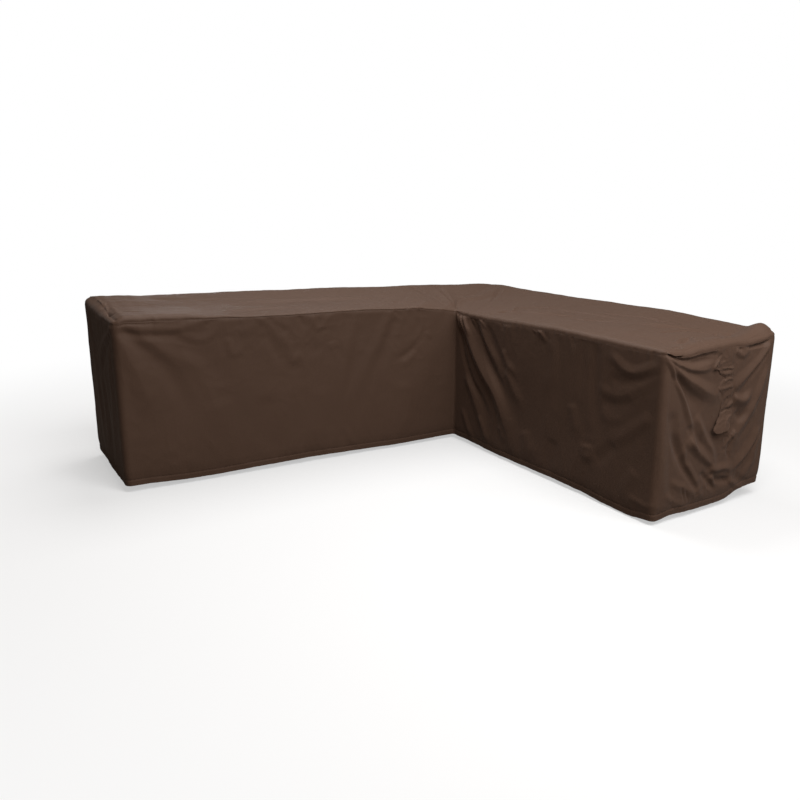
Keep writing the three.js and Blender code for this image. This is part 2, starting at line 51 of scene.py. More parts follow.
MM = 0.001
CLOTH_THICKNESS = 2.0
SEAM_GAP = 0.3
TOP_ROLL_RADIUS = 20.0

# Corners of the L in plan and how round each is
corners = {
    "inner": {"x": -18, "y": 11, "radius": 16},
    "right_front": {"x": 0, "y": -1534, "radius": 30},
    "right_back": {"x": 764, "y": -1524, "radius": 26},
    "outer": {"x": 790, "y": 645, "radius": 95},
    "left_back": {"x": -1926, "y": 787, "radius": 30},
    "left_front": {"x": -1942, "y": 97, "radius": 34},
}

# Walls in the order of a walk with the cloth on the left hand
walls = {
    "inner_right": {"start": "inner", "end": "right_front"},
    "right_end": {"start": "right_front", "end": "right_back"},
    "back_right": {"start": "right_back", "end": "outer"},
    "back_left": {"start": "outer", "end": "left_back"},
    "left_end": {"start": "left_back", "end": "left_front"},
    "inner_left": {"start": "left_front", "end": "inner"},
}
NAMES = list(walls)

# Height of the top's edge and of the hem along each wall: share of the wall's length, height
edge_heights = {
    "inner_right": [(0, 773), (0.15, 776), (0.28, 786), (0.4, 795), (0.56, 806), (0.74, 808),
                    (0.9, 809), (1, 807)],
    "right_end": [(0, 807), (0.07, 797), (0.16, 793), (0.3, 802), (0.45, 806), (0.6, 807),
                  (0.74, 799), (0.86, 805), (1, 822)],
    "back_right": [(0, 822), (0.03, 836), (0.07, 823), (0.14, 826), (0.3, 832), (0.45, 822),
                   (0.69, 807), (0.88, 799), (1, 801)],
    "back_left": [(0, 801), (0.07, 815), (0.29, 836), (0.52, 857), (0.73, 871), (0.87, 878),
                  (0.95, 888), (1, 889)],
    "left_end": [(0, 889), (0.3, 879), (0.6, 866), (0.85, 861), (1, 859)],
    "inner_left": [(0, 859), (0.03, 883), (0.07, 879), (0.16, 871), (0.26, 850), (0.37, 834), (0.47, 828),
                   (0.66, 824), (0.85, 808), (0.95, 787), (1, 773)],
}
hem_heights = {
    "inner_right": [(0, 16), (0.3, 8), (0.6, 12), (0.9, -3), (1, 12)],
    "right_end": [(0, 12), (0.15, 22), (0.38, 17), (0.57, 17), (0.85, 56), (1, 62)],
    "back_right": [(0, 62), (0.2, 44), (0.5, 34), (0.75, 40), (1, 30)],
    "back_left": [(0, 30), (0.25, 38), (0.5, 28), (0.8, 36), (1, 34)],
    "left_end": [(0, 34), (0.5, 26), (1, 28)],
    "inner_left": [(0, 28), (0.2, 16), (0.5, 22), (0.8, 12), (1, 16)],
}

# Places of the vertical seams along the two ends
RIGHT_END_SEAM = 490
LEFT_END_SEAM = 340


def smooth_step(value):
    clamped = np.clip(value, 0.0, 1.0)
    return clamped * clamped * (3.0 - 2.0 * clamped)


def table_height(table, share):
    """Smooth height between the rows of a table, for an array of shares."""
    shares = np.array([row[0] for row in table], dtype=float)
    heights = np.array([row[1] for row in table], dtype=float)
    index = np.clip(np.searchsorted(shares, share, side="right") - 1, 0, len(table) - 2)
    part = smooth_step((share - shares[index]) / (shares[index + 1] - shares[index]))
    return heights[index] + (heights[index + 1] - heights[index]) * part


# Noise on a lattice of fixed directions, the same on every run: large odd numbers mix the places
COLUMN_MIX, ROW_MIX, SEED_MIX, LAST_MIX = 374761393, 668265263, 974711, 1274126177
ALL_BITS = 0xFFFFFFFF


def lattice_angle(column, row, seed):
    mixed = (column * COLUMN_MIX + row * ROW_MIX + seed * SEED_MIX) & ALL_BITS
    mixed = ((mixed ^ (mixed >> 13)) * LAST_MIX) & ALL_BITS
    return (mixed ^ (mixed >> 16)) / ALL_BITS * 2.0 * math.pi


def noise(x, y, seed):
    """Smooth gradient noise, about -1 to 1."""
    column, row = np.floor(x).astype(np.int64), np.floor(y).astype(np.int64)
    fx, fy = x - column, y - row
    ease_x, ease_y = smooth_step(fx), smooth_step(fy)

    def corner(right, up):
        angle = lattice_angle(column + right, row + up, seed)
        return np.cos(angle) * (fx - right) + np.sin(angle) * (fy - up)

    low = corner(0, 0) * (1 - ease_x) + corner(1, 0) * ease_x
    high = corner(0, 1) * (1 - ease_x) + corner(1, 1) * ease_x
    return 1.5 * (low * (1 - ease_y) + high * ease_y)


def creases(x, y, seed):
    """Thin raised lines where noise crosses zero, 0 to 1, bent by a slower noise."""
    bent_x = x + 0.5 * noise(x * 0.6, y * 0.6, seed + 31)
    bent_y = y + 0.5 * noise(x * 0.6, y * 0.6, seed + 57)
    level = noise(bent_x, bent_y, seed)
    return 1.0 - np.minimum(np.sqrt(level * level + 0.004) * 2.2, 1.0)


def prepare_walls():
    """Work out the run, the way out and the rounded ends of every wall."""
    for wall in walls.values():
        start, end = corners[wall["start"]], corners[wall["end"]]
        run_x, run_y = end["x"] - start["x"], end["y"] - start["y"]
        wall["distance"] = math.hypot(run_x, run_y)
        wall["run"] = (run_x / wall["distance"], run_y / wall["distance"])
        wall["heading"] = math.atan2(run_y, run_x)
    for index, name in enumerate(NAMES):
        following = walls[NAMES[(index + 1) % len(NAMES)]]
        turn = following["heading"] - walls[name]["heading"]
        turn = math.atan2(math.sin(turn), math.cos(turn))
        walls[name]["turn_at_end"] = turn
        following["turn_at_start"] = turn
    for wall in walls.values():
        for side in ("start", "end"):
            radius, turn = corners[wall[side]]["radius"], wall["turn_at_" + side]
            wall[side + "_trim"] = radius * math.tan(abs(turn) / 2)
            wall[side + "_arc"] = radius * abs(turn) / 2
        straight = wall["distance"] - wall["start_trim"] - wall["end_trim"]
        wall["length"] = wall["start_arc"] + straight + wall["end_arc"]


prepare_walls()


def outline(name, along):
    """Places on the plan outline and the way out of the wall there, for an array of distances."""
    wall = walls[name]
    facing = wall["heading"] - math.pi / 2
    start, end = corners[wall["start"]], corners[wall["end"]]
    run_x, run_y = wall["run"]
    from_corner = along - wall["start_arc"] + wall["start_trim"]
    x = start["x"] + run_x * from_corner
    y = start["y"] + run_y * from_corner
    angle = np.full(np.shape(along), facing)
    arcs = (
        (along < wall["start_arc"], start, 1, wall["start_trim"], wall["turn_at_start"],
         -(wall["turn_at_start"] / 2) * (1 - along / wall["start_arc"])),
        (along > wall["length"] - wall["end_arc"], end, -1, wall["end_trim"], wall["turn_at_end"],
         (wall["turn_at_end"] / 2) * (1 - (wall["length"] - along) / wall["end_arc"])),
    )
    for inside, corner, way, trim, turn, turned in arcs:
        side = math.copysign(1, turn)
        centre_x = corner["x"] + way * run_x * trim - side * math.cos(facing) * corner["radius"]
        centre_y = corner["y"] + way * run_y * trim - side * math.sin(facing) * corner["radius"]
        arc_angle = facing + turned
        x = np.where(inside, centre_x + side * corner["radius"] * np.cos(arc_angle), x)
        y = np.where(inside, centre_y + side * corner["radius"] * np.sin(arc_angle), y)
        angle = np.where(inside, arc_angle, angle)
    return x, y, np.cos(angle), np.sin(angle)


def edge_height(name, along):
    """Height of the top's edge, with the small rise and fall that sewing gives it."""
    wall = walls[name]
    height = table_height(edge_heights[name], along / wall["length"])
    seed = NAMES.index(name)
    at_ends = smooth_step(along / 60) * smooth_step((wall["length"] - along) / 60)
    wobble = 1.6 * noise(along / 95, along * 0, 40 + seed) + 0.7 * noise(along / 31, along * 0, 50 + seed)
    return height + wobble * at_ends


# Radius of the rolled edge of the top, where it isn't the usual one: share of the wall, radius
roll_radii = {
    "right_end": [(0, 16), (0.08, 24), (0.5, 24), (1, 20)],
    "back_left": [(0, 20), (0.93, 20), (1, 30)],
    "left_end": [(0, 30), (0.15, 42), (0.5, 38), (0.75, 22), (1, 16)],
    "inner_left": [(0, 16), (0.03, 30), (0.16, 28), (0.26, 14), (0.37, 8), (0.95, 8), (1, 10)],
    "inner_right": [(0, 10), (0.05, 20), (0.3, 26), (0.9, 26), (1, 16)],
}
# How far the stitching draws the seam in: share of the wall, depth
EVEN_TUCK = [(0, 1), (1, 1)]
seam_tucks = {
    "right_end": [(0, 1), (0.012, 15), (0.09, 19), (0.14, 1), (1, 1)],
    "inner_left": [(0, 1), (0.04, 2.4), (0.9, 2.4), (1, 1)],
}


def roll_radius(name, along):
    if name not in roll_radii:
        return np.full(np.shape(along), TOP_ROLL_RADIUS)
    return table_height(roll_radii[name], along / walls[name]["length"])


def seam_tuck(name, along):
    """How far the seam is drawn in, more in some places than in others."""
    length = walls[name]["length"]
    depth = table_height(seam_tucks.get(name, EVEN_TUCK), along / length)
    at_ends = smooth_step(along / 30) * smooth_step((length - along) / 30)
    return depth * (1 + 0.7 * at_ends * noise(along / 70, along * 0, 30 + NAMES.index(name)))


def seam_height(name, along):
    """Height of the seam between the top and the skirt."""
    return edge_height(name, along) - roll_radius(name, along)


# Folds. A path is given as places on its wall: distance along the wall, drop below the seam; on the
# top it is given as places in plan. The columns are the path, the half width and the rise at its two
# ends, how narrow the crest is, how far it leans to one side, and how full it is at its two ends.
# The last three are left out where they are the usual ones.
# A crest is rounded off by its radius, and a narrow one falls off by a power. A fold fades in over a
# share of its path, and fades out over a longer share that ends past the end of the path.
CREST_RADIUS = 2.5
CREST_POWER = 1.6
FADE_IN_LENGTH = 0.2
FADE_OUT_LENGTH = 0.55
FADED_OUT_AT = 1.2
CURVE_STEPS = 4
fold_columns = ("path", "width", "rise", "crisp", "lean", "start", "end")
usual_fold = {"lean": 0, "start": 0.3, "end": 1}
fold_rows = {
    # Right end
    "right_end": [
        ([(-5, -8), (50, 2), (104, 9)], (15, 19), (-10, -5), 0.7, 0, 0.6),
        ([(60, 8), (128, 18), (194, 34), (258, 34), (320, 32)], (20, 30), (-14, -12), 0.2),
        ([(5, 9), (43, 20), (101, 41), (168, 65), (235, 81), (300, 79)], (12, 28), (10, 11), 0.7, 0.2),
        ([(19, 20), (64, 58), (116, 90), (187, 136), (258, 180), (329, 212), (354, 210)],
         (22, 56), (13, 20), 0.7),
        ([(40, 78), (95, 120), (160, 185), (230, 250)], (20, 44), (-8, -10), 0.2),
        ([(2, 12), (28, 55), (62, 101), (97, 150), (127, 196), (150, 245), (184, 311), (208, 371),
          (224, 424)], (14, 26), (11, 11), 0.8, -0.1),
        ([(229, 298), (261, 355), (312, 431), (352, 479), (390, 563)], (30, 36), (12, 12), 0.7),
        ([(188, 394), (236, 448), (300, 506), (374, 564), (393, 581)], (50, 26), (17, 12), 0.6, 0.2),
        ([(180, 330), (230, 400), (290, 470)], (26, 30), (-8, -7), 0.2),
        ([(151, 428), (176, 502), (231, 577), (280, 643), (299, 690)], (22, 28), (12, 11), 0.9),
        ([(81, 349), (115, 421), (155, 485), (186, 544), (244, 614), (285, 679)],
         (34, 30), (-10, -11), 0.3),
        ([(295, 585), (343, 632), (403, 694)], (20, 20), (-8, -7), 0.4),
        ([(365, 614), (408, 672)], (18, 16), (8, 6), 0.7),
        ([(352, 572), (392, 590), (440, 592), (505, 602)], (28, 30), (13, 12), 0.7, 0.1),
        ([(391, 640), (440, 652), (491, 668)], (24, 24), (-10, -10), 0.3),
        ([(-10, 23), (-1, 287), (12, 400), (48, 621), (79, 737)], (42, 46), (6, 8), 0.3),
        ([(58, 250), (93, 376), (128, 462), (168, 527)], (40, 44), (-8, -10), 0.2),
        ([(90, 577), (200, 640), (343, 720)], (27, 32), (6, 6), 0.7),
        ([(60, 640), (140, 690), (230, 745)], (25, 32), (5, 5), 0.7),
        ([(526, -6), (624, 6), (730, 8)], (23, 23), (-11, -10), 0.3),
        ([(714, 11), (664, 70), (585, 130), (523, 181), (479, 212)], (26, 46), (13, 17), 0.7, -0.2),
        ([(699, 66), (649, 112), (608, 140), (537, 192)], (24, 34), (-8, -8), 0.3),
        ([(712, 139), (682, 217), (641, 290), (598, 352), (538, 423), (528, 469)],
         (34, 46), (11, 13), 0.6, -0.1),
        ([(485, 246), (548, 262), (604, 236)], (40, 40), (18, 16), 0.5, -0.2),
        ([(510, 320), (548, 350), (580, 320)], (28, 28), (-8, -7), 0.2),
        ([(700, 440), (664, 498), (613, 550), (570, 580), (519, 612)], (34, 42), (12, 13), 0.8, -0.5),
        ([(720, 480), (687, 531), (674, 603), (615, 665)], (30, 36), (7, 7), 0.5),
        ([(518, 410), (500, 440), (483, 460), (476, 471)], (16, 16), (11, 10), 0.8),
        ([(500, 440), (478, 500), (486, 560)], (16, 18), (-7, -6), 0.4),
        ([(345, 51), (325, 75), (309, 96)], (12, 14), (8, 8), 0.8),
        ([(460, 20), (520, 44), (560, 20)], (20, 22), (7, 6), 0.5),
        ([(496, 660), (570, 700), (652, 756)], (25, 29), (6, 6), 0.7),
        ([(540, 640), (620, 690), (700, 730)], (29, 29), (-5, -5), 0.4),
        ([(162, 620), (184, 666), (198, 700)], (9, 8), (-4, -3), 0.8, 0, 0.3, 0.8),
        ([(194, 644), (213, 684), (226, 712)], (9, 8), (-4, -3), 0.8, 0, 0.3, 0.8),
        ([(262, 684), (280, 686), (296, 692)], (7, 6), (-3, -3), 0.8, 0, 0.3, 0.8),
        ([(350, 660), (362, 676)], (10, 8), (-4, -3), 0.6, 0, 0.3, 0.8),
        ([(130, 14), (205, 15), (290, 15), (348, 30)], (10, 15), (-6, -9), 0.3, 0, 0.3, 0.7),
        ([(486, 18), (520, 16)], (11, 11), (-6, -6), 0.3, 0, 0.4, 0.6),
        ([(560, 15), (612, 14), (680, 14)], (9, 11), (-6, -8), 0.3, 0, 0.3, 0.8),
        ([(360, 24), (336, 54)], (8, 8), (-4, -5), 0.6, 0, 0.3, 0.8),
    ],
    # Inner side of the right wing
    "inner_right": [
        ([(78, 4), (160, 165), (262, 284), (384, 392), (444, 480), (520, 640)],
         (44, 92), (20, 26), 0.6, 0.2),
        ([(106, 350), (190, 470), (340, 690)], (38, 59), (9.9, 8.7), 0.5),
        ([(10, 0), (50, 62), (70, 120)], (15, 19), (6.8, 3.7), 0.7),
        ([(48, 0), (100, 101), (130, 160)], (17, 23), (7.4, 4.3), 0.7),
        ([(14, 60), (60, 150), (92, 250), (160, 368), (250, 450), (330, 540)], (22, 34), (-9, -10), 0.4),
        ([(150, 10), (255, 132), (352, 262), (464, 390), (505, 470)], (27, 46), (-9.9, -9.3), 0.5),
        ([(225, 6), (296, 132), (408, 242)], (25, 42), (6.8, 5.6), 0.5),
        ([(300, 30), (380, 150), (470, 250)], (29, 46), (-5, -5), 0.4),
        ([(440, 140), (471, 211), (557, 262)], (29, 38), (5, 5), 0.5),
        ([(470, 250), (519, 320), (609, 430)], (38, 50), (6.2, 6.2), 0.5),
        ([(80, 560), (158, 690), (212, 740)], (29, 38), (5.6, 5.6), 0.5),
        ([(251, 560), (321, 704)], (29, 42), (5, 5), 0.5),
        ([(431, 577), (480, 660)], (29, 38), (4.3, 4.3), 0.5),
        ([(249, 0), (262, 60)], (13, 17), (-3.7, -1.9), 0.6),
        ([(424, 0), (430, 40)], (13, 17), (-3.7, -1.9), 0.6),
        ([(668, 0), (700, 34)], (15, 17), (-3.7, -2.5), 0.6),
        ([(721, 0), (779, 67)], (17, 23), (4.3, 2.5), 0.5),
        ([(962, 0), (975, 50)], (17, 21), (-3.1, -1.9), 0.5),
        ([(820, 20), (840, 180), (800, 330)], (38, 71), (3.1, 3.1), 0.3),
        ([(1123, 14), (1128, 193), (1162, 368), (1201, 450)], (38, 63), (-5.6, -5), 0.3),
        ([(1215, 44), (1345, 106), (1480, 64), (1540, 20)], (38, 42), (6.8, 7.4), 0.5),
        ([(1225, 150), (1290, 158), (1390, 130), (1500, 60)], (36, 40), (-4, -3), 0.4),
        ([(1150, 220), (1265, 232), (1361, 196), (1493, 118)], (40, 44), (4, 3), 0.5),
        ([(1180, 285), (1273, 276), (1380, 240)], (34, 40), (-3, -2), 0.4),
        ([(1180, 330), (1240, 352), (1330, 330)], (36, 40), (2, 2), 0.4),
        ([(985, 340), (1030, 495)], (42, 55), (5, 5), 0.4),
        ([(1100, 520), (1122, 600)], (63, 63), (5.6, 5.6), 0.3),
        ([(1280, 470), (1162, 600)], (42, 50), (-5, -5), 0.3),
        ([(1480, 290), (1360, 390), (1248, 464)], (42, 55), (5, 5), 0.4),
        ([(1420, 560), (1370, 660), (1400, 740)], (50, 50), (4.3, 3.7), 0.3),
        ([(1400, 690), (1499, 712), (1560, 690)], (23, 27), (3.7, 3.7), 0.5),
        ([(640, 560), (700, 690)], (55, 71), (5, 5), 0.3),
        ([(860, 560), (840, 740)], (63, 76), (-4.3, -4.3), 0.3),
        ([(15, 6), (38, 50), (58, 100)], (11, 12), (18, 9), 0.7, 0, 0.2, 0.8),
        ([(42, 6), (72, 46), (104, 100)], (11, 12), (15, 8), 0.7, 0, 0.2, 0.8),
        ([(76, 6), (112, 56), (150, 110)], (12, 16), (12, 7), 0.7, 0, 0.2, 0.8),
        ([(150, 8), (176, 40), (214, 90)], (12, 16), (7, 5), 0.7, 0, 0.2, 0.8),
        ([(226, 6), (254, 22), (280, 50)], (10, 13), (5, 4), 0.7, 0, 0.3, 0.8),
        ([(668, 4), (700, 20), (726, 44)], (10, 12), (5, 3), 0.7, 0, 0.3, 0.8),
        ([(716, 4), (744, 24), (772, 54)], (10, 12), (5, 3), 0.7, 0, 0.3, 0.8),
    ],
    # Inner side of the left wing
    "inner_left": [
        ([(8, 4), (96, 8), (190, 9), (250, 6)], (10, 15), (-3.6, -2.2), 0.6),
        ([(6, 14), (120, 40), (255, 46), (354, 30), (441, 8)], (23, 34), (4.9, 4.9), 0.4),
        ([(30, 34), (125, 62), (240, 70), (378, 96), (451, 88)], (34, 46), (-4.5, -4.5), 0.3),
        ([(300, 66), (393, 100), (460, 84), (510, 40)], (34, 34), (4.9, 4), 0.4),
        ([(-6, 14), (30, 106), (68, 200), (100, 270), (150, 460)], (34, 92), (8.5, 8.9), 0.4),
        ([(27, 26), (114, 115), (202, 212), (262, 300), (330, 470)], (38, 80), (-6.3, -6.3), 0.3),
        ([(118, 74), (208, 135), (301, 196), (420, 260)], (42, 67), (4, 4), 0.4),
        ([(330, 110), (430, 200), (500, 300)], (59, 84), (-3.1, -3.1), 0.3),
        ([(548, 100), (575, 186), (640, 130)], (29, 34), (3.7, 2.8), 0.5),
        ([(439, 34), (488, 2)], (17, 19), (-2.4, -2), 0.5),
        ([(610, 80), (660, 56), (705, 14)], (42, 38), (3.2, 2.8), 0.4),
        ([(710, 0), (783, 52), (832, 140)], (29, 42), (3.7, 3.2), 0.5),
        ([(740, 90), (800, 180), (820, 260)], (42, 55), (-2.8, -2.8), 0.3),
        ([(792, 14), (893, 60)], (23, 32), (2.4, 2), 0.5),
        ([(840, 90), (919, 260)], (42, 55), (3.2, 3.2), 0.4),
        ([(935, 6), (974, 70)], (21, 27), (-3.2, -2.8), 0.5),
        ([(1002, 4), (1052, 78), (1120, 8)], (29, 29), (3.2, 3.2), 0.5),
        ([(988, 150), (1048, 215)], (50, 55), (-2.8, -2.8), 0.3),
        ([(900, 262), (929, 218), (960, 262)], (29, 29), (2.4, 2.4), 0.4),
        ([(1121, 160), (1130, 200)], (42, 42), (2.4, 1.6), 0.4),
        ([(1233, 60), (1210, 250), (1180, 420)], (38, 55), (2.8, 3.2), 0.4),
        ([(1302, 90), (1257, 255), (1220, 420)], (38, 55), (-2.4, -2.8), 0.3),
        ([(1484, 4), (1412, 165), (1336, 300), (1270, 470)], (38, 71), (4.8, 5.3), 0.5),
        ([(1520, 40), (1470, 190), (1410, 330)], (38, 59), (-3.7, -3.7), 0.3),
        ([(1510, 6), (1558, 46)], (17, 21), (-2.8, -2), 0.6),
        ([(1636, 4), (1668, 66)], (25, 29), (2.8, 2), 0.5),
        ([(1650, 200), (1612, 250), (1530, 276)], (25, 38), (-4, -3.2), 0.6),
        ([(1640, 240), (1600, 290), (1540, 320)], (34, 42), (3.2, 2.8), 0.4),
        ([(1715, 130), (1750, 165)], (25, 29), (2.4, 2.4), 0.5),
        ([(1868, 10), (1880, 150), (1893, 420)], (29, 42), (2.8, 2.8), 0.4),
        ([(1780, 60), (1800, 300), (1760, 560)], (55, 84), (-2.4, -3.2), 0.3),
        ([(480, 420), (560, 760)], (105, 147), (4.8, 4.8), 0.3),
        ([(760, 430), (720, 780)], (97, 139), (-4, -4), 0.3),
        ([(1050, 400), (1010, 770)], (92, 126), (4.5, 4.5), 0.3),
        ([(1560, 420), (1600, 740)], (92, 118), (4, 4), 0.3),
    ],
    # Left end
    "left_end": [
        ([(650, 10), (600, 60), (470, 110), (344, 168)], (25, 42), (7.4, 7.4), 0.5),
        ([(640, 40), (542, 120), (400, 200), (324, 290)], (34, 55), (-7.4, -7.4), 0.3),
        ([(600, 80), (560, 300), (520, 700)], (46, 84), (8.7, 8.7), 0.4),
        ([(360, 300), (400, 520), (420, 740)], (50, 76), (-5.6, -5.6), 0.3),
        ([(60, 20), (140, 160), (210, 380), (240, 700)], (38, 84), (8.7, 8.7), 0.4),
        ([(110, 60), (200, 300), (300, 620)], (38, 71), (-5.6, -5.6), 0.3),
    ],
    # Back of the right wing
    "back_right": [
        ([(20, 16), (120, 200), (230, 420), (280, 700)], (38, 105), (9.9, 9.9), 0.5),
        ([(80, 30), (240, 220), (400, 520)], (42, 84), (-7.4, -7.4), 0.3),
        ([(640, 40), (600, 340), (560, 760)], (63, 126), (8.1, 9.3), 0.3),
        ([(900, 30), (880, 300), (930, 740)], (71, 113), (-6.2, -6.2), 0.3),
        ([(1180, 30), (1200, 360), (1150, 740)], (59, 113), (7.4, 7.4), 0.4),
        ([(1500, 40), (1460, 400), (1500, 740)], (71, 105), (-5.6, -5.6), 0.3),
        ([(1850, 30), (1780, 260), (1700, 700)], (50, 118), (8.7, 8.7), 0.4),
        ([(2080, 20), (2010, 240), (1940, 600)], (42, 97), (7.4, 7.4), 0.4),
    ],
    # Back of the left wing
    "back_left": [
        ([(60, 20), (150, 240), (260, 700)], (42, 109), (8.7, 8.7), 0.4),
        ([(420, 30), (480, 300), (460, 760)], (67, 113), (-6.2, -6.2), 0.3),
        ([(760, 30), (720, 360), (760, 780)], (59, 118), (7.4, 7.4), 0.4),
        ([(1180, 40), (1150, 420), (1220, 780)], (71, 126), (-6.2, -6.2), 0.3),
        ([(1520, 30), (1560, 360), (1540, 780)], (59, 118), (8.1, 8.1), 0.4),
        ([(1980, 30), (1940, 400), (1900, 800)], (63, 118), (-6.2, -6.2), 0.3),
        ([(2330, 30), (2300, 320), (2210, 780)], (50, 118), (8.1, 8.1), 0.4),
        ([(2690, 16), (2600, 200), (2500, 560), (2460, 760)], (38, 109), (9.9, 9.9), 0.5),
        ([(2640, 30), (2500, 220), (2380, 480)], (38, 84), (-6.8, -6.8), 0.3),
    ],
    # Top, in plan
    "top": [
        ([(-1, 27), (71, 134), (156, 230), (223, 273)], (11, 11), (-8.8, -4.4), 0.9, 0, 0.8, 0.6),
        ([(224, 239), (387, 313), (637, 460)], (55, 112), (13.2, 11), 0.2),
        ([(15, 100), (128, 328), (250, 563)], (45, 100), (11, 11), 0.2),
        ([(71, 646), (25, 443), (-24, 235), (-48, 72)], (32, 15), (-9.9, -6.6), 0.5, 0, 0.3, 0.8),
        ([(234, 586), (139, 355), (22, 96)], (32, 11), (-9.9, -6.6), 0.5, 0, 0.3, 0.9),
        ([(637, 437), (470, 266), (322, 119)], (28, 18), (-8.8, -6.6), 0.7, 0, 0.3, 0.8),
        ([(118, -225), (170, -209), (224, -192)], (32, 25), (-11, -11), 0.2, 0, 0.3, 0.8),
        ([(189, -240), (246, -192), (312, -138)], (20, 18), (9.9, 6.6), 0.5, 0, 0.3, 0.8),
        ([(288, -177), (388, -253), (461, -367)], (15, 18), (-6.6, -5.5), 0.7, 0, 0.3, 0.8),
        ([(230, -292), (284, -417), (376, -558)], (28, 38), (9.9, 8.8), 0.4, 0, 0.3, 0.8),
        ([(429, -377), (459, -602), (476, -843)], (20, 25), (7.7, 7.7), 0.5, 0, 0.3, 0.8),
        ([(281, -660), (358, -781), (404, -947)], (20, 30), (-8.8, -8.8), 0.4, 0, 0.3, 0.8),
        ([(520, -601), (559, -869), (556, -1198)], (18, 18), (6.6, 6.6), 0.5, 0, 0.3, 0.8),
        ([(424, -982), (479, -1115), (564, -1240)], (28, 22), (8.8, 8.8), 0.3, 0, 0.3, 0.8),
        ([(395, -1101), (485, -1185), (546, -1273)], (14, 14), (-6.6, -6.6), 0.6, 0, 0.3, 0.8),
        ([(324, -1208), (468, -1248), (547, -1343)], (18, 14), (-8.8, -8.8), 0.5, 0, 0.4, 0.9),
        ([(556, -1342), (534, -1382), (486, -1433), (438, -1476)], (11, 11), (-11, -8.8), 0.9, 0, 0.6, 0.8),
        ([(612, -1375), (588, -1405), (550, -1442)], (11, 11), (-6.6, -4.4), 0.8, 0, 0.3, 0.8),
        ([(204, -1400), (270, -1383), (314, -1390), (262, -1472)], (20, 14), (11, 9.9), 0.5, 0, 0.3, 0.8),
        ([(199, -1430), (248, -1422), (257, -1443)], (16, 14), (-11, -11), 0.3, 0, 0.3, 0.8),
        ([(313, -1397), (280, -1452), (250, -1501)], (11, 11), (7.7, 6.6), 0.8, 0, 0.3, 0.8),
        ([(361, -1376), (322, -1440), (291, -1490)], (11, 11), (7.7, 6.6), 0.8, 0, 0.3, 0.8),
        ([(116, -1475), (137, -1475), (143, -1490)], (11, 11), (-15.4, -11), 0.7, 0, 0.5, 0.9),
        ([(-333, 200), (-241, 184), (-150, 162)], (14, 12), (-7.7, -6.6), 0.7, 0, 0.3, 0.8),
        ([(-587, 204), (-488, 198), (-413, 144)], (14, 12), (-7.7, -6.6), 0.7, 0, 0.3, 0.8),
        ([(-1346, 186), (-1127, 240), (-879, 229)], (32, 32), (7.7, 7.7), 0.3, 0, 0.3, 0.8),
        ([(-1620, 609), (-1333, 553), (-987, 489)], (50, 50), (-8.8, -8.8), 0.2, 0, 0.3, 0.8),
        ([(-1129, 478), (-713, 447), (-315, 381)], (50, 50), (8.8, 8.8), 0.2, 0, 0.3, 0.8),
        ([(-1922, 332), (-1913, 268), (-1898, 240)], (21, 16), (-16, -16), 0.3, 0, 0.5, 0.9),
        ([(-1950, 188), (-1938, 143), (-1919, 113)], (12, 11), (8.8, 8.8), 0.5, 0, 0.3, 0.8),
        ([(-1940, 377), (-1908, 494), (-1872, 575)], (14, 11), (13.2, 8.8), 0.8, 0, 0.3, 0.8),
        ([(-1921, 413), (-1890, 473), (-1867, 501)], (11, 11), (-11, -8.8), 0.9, 0, 0.3, 0.8),
        ([(-1937, 330), (-1908, 406), (-1887, 423)], (11, 11), (8.8, 6.6), 0.9, 0, 0.3, 0.8),
        ([(-1933, 99), (-1916, 130)], (11, 11), (-11, -8.8), 0.8, 0, 0.6, 0.9),
        ([(-1855, 252), (-1810, 239), (-1762, 218)], (11, 11), (-6.6, -6.6), 0.7, 0, 0.3, 0.8),
        ([(-1881, 634), (-1907, 459), (-1947, 306)], (13, 13), (7, 7), 0.7, 0, 0.4, 0.6),
        ([(-1873, 552), (-1898, 399), (-1937, 266)], (12, 12), (6, 7), 0.7, 0, 0.4, 0.6),
        ([(-1919, 306), (-1912, 251), (-1899, 227)], (14, 14), (-9, -9), 0.4, 0, 0.4, 0.6),
        ([(-1950, 207), (-1946, 124), (-1929, 98)], (12, 12), (6, 6), 0.7, 0, 0.4, 0.6),
        ([(-1865, 435), (-1870, 330), (-1886, 202)], (12, 12), (4, 4), 0.7, 0, 0.4, 0.6),
        ([(543, -1353), (493, -1410), (403, -1495)], (12, 12), (-7, -8), 0.8, 0, 0.4, 0.6),
        ([(565, -1351), (515, -1409), (423, -1494)], (12, 12), (6, 7), 0.8, 0, 0.4, 0.6),
        ([(287, -1428), (256, -1476), (226, -1522)], (11, 11), (-5, -5), 0.8, 0, 0.4, 0.6),
        ([(324, -1423), (283, -1478), (249, -1526)], (11, 11), (-5, -5), 0.8, 0, 0.4, 0.6),
        ([(592, -1381), (551, -1430), (495, -1481)], (11, 11), (-4, -4), 0.8, 0, 0.4, 0.6),
        ([(114, -1480), (130, -1483), (133, -1500)], (10, 10), (-8, -8), 0.6, 0, 0.4, 0.6),
        ([(78, -1489), (52, -1523), (52, -1534)], (10, 10), (-5, -5), 0.6, 0, 0.4, 0.6),
    ],
    # Vent flap: the gathers across its sewn part
    "flap": [
        ([(372, 96), (415, 98), (470, 104)], (9, 7), (3, 5), 0.8, 0, 0.4),
        ([(352, 112), (400, 122), (476, 120)], (9, 15), (4, 5), 0.5, 0, 0.4),
        ([(376, 150), (392, 142), (410, 150)], (8, 8), (-4, -4), 0.6, 0, 0.4),
        ([(404, 160), (440, 152), (478, 158)], (8, 8), (3, 4), 0.7, 0, 0.4),
        ([(362, 190), (410, 194), (482, 186)], (13, 12), (4, 5), 0.6, 0, 0.4),
        ([(486, 262), (452, 284), (424, 306)], (12, 16), (6, 5), 0.7, 0, 0.4),
        ([(440, 240), (420, 262), (404, 276)], (12, 12), (-4, -4), 0.5, 0, 0.4),
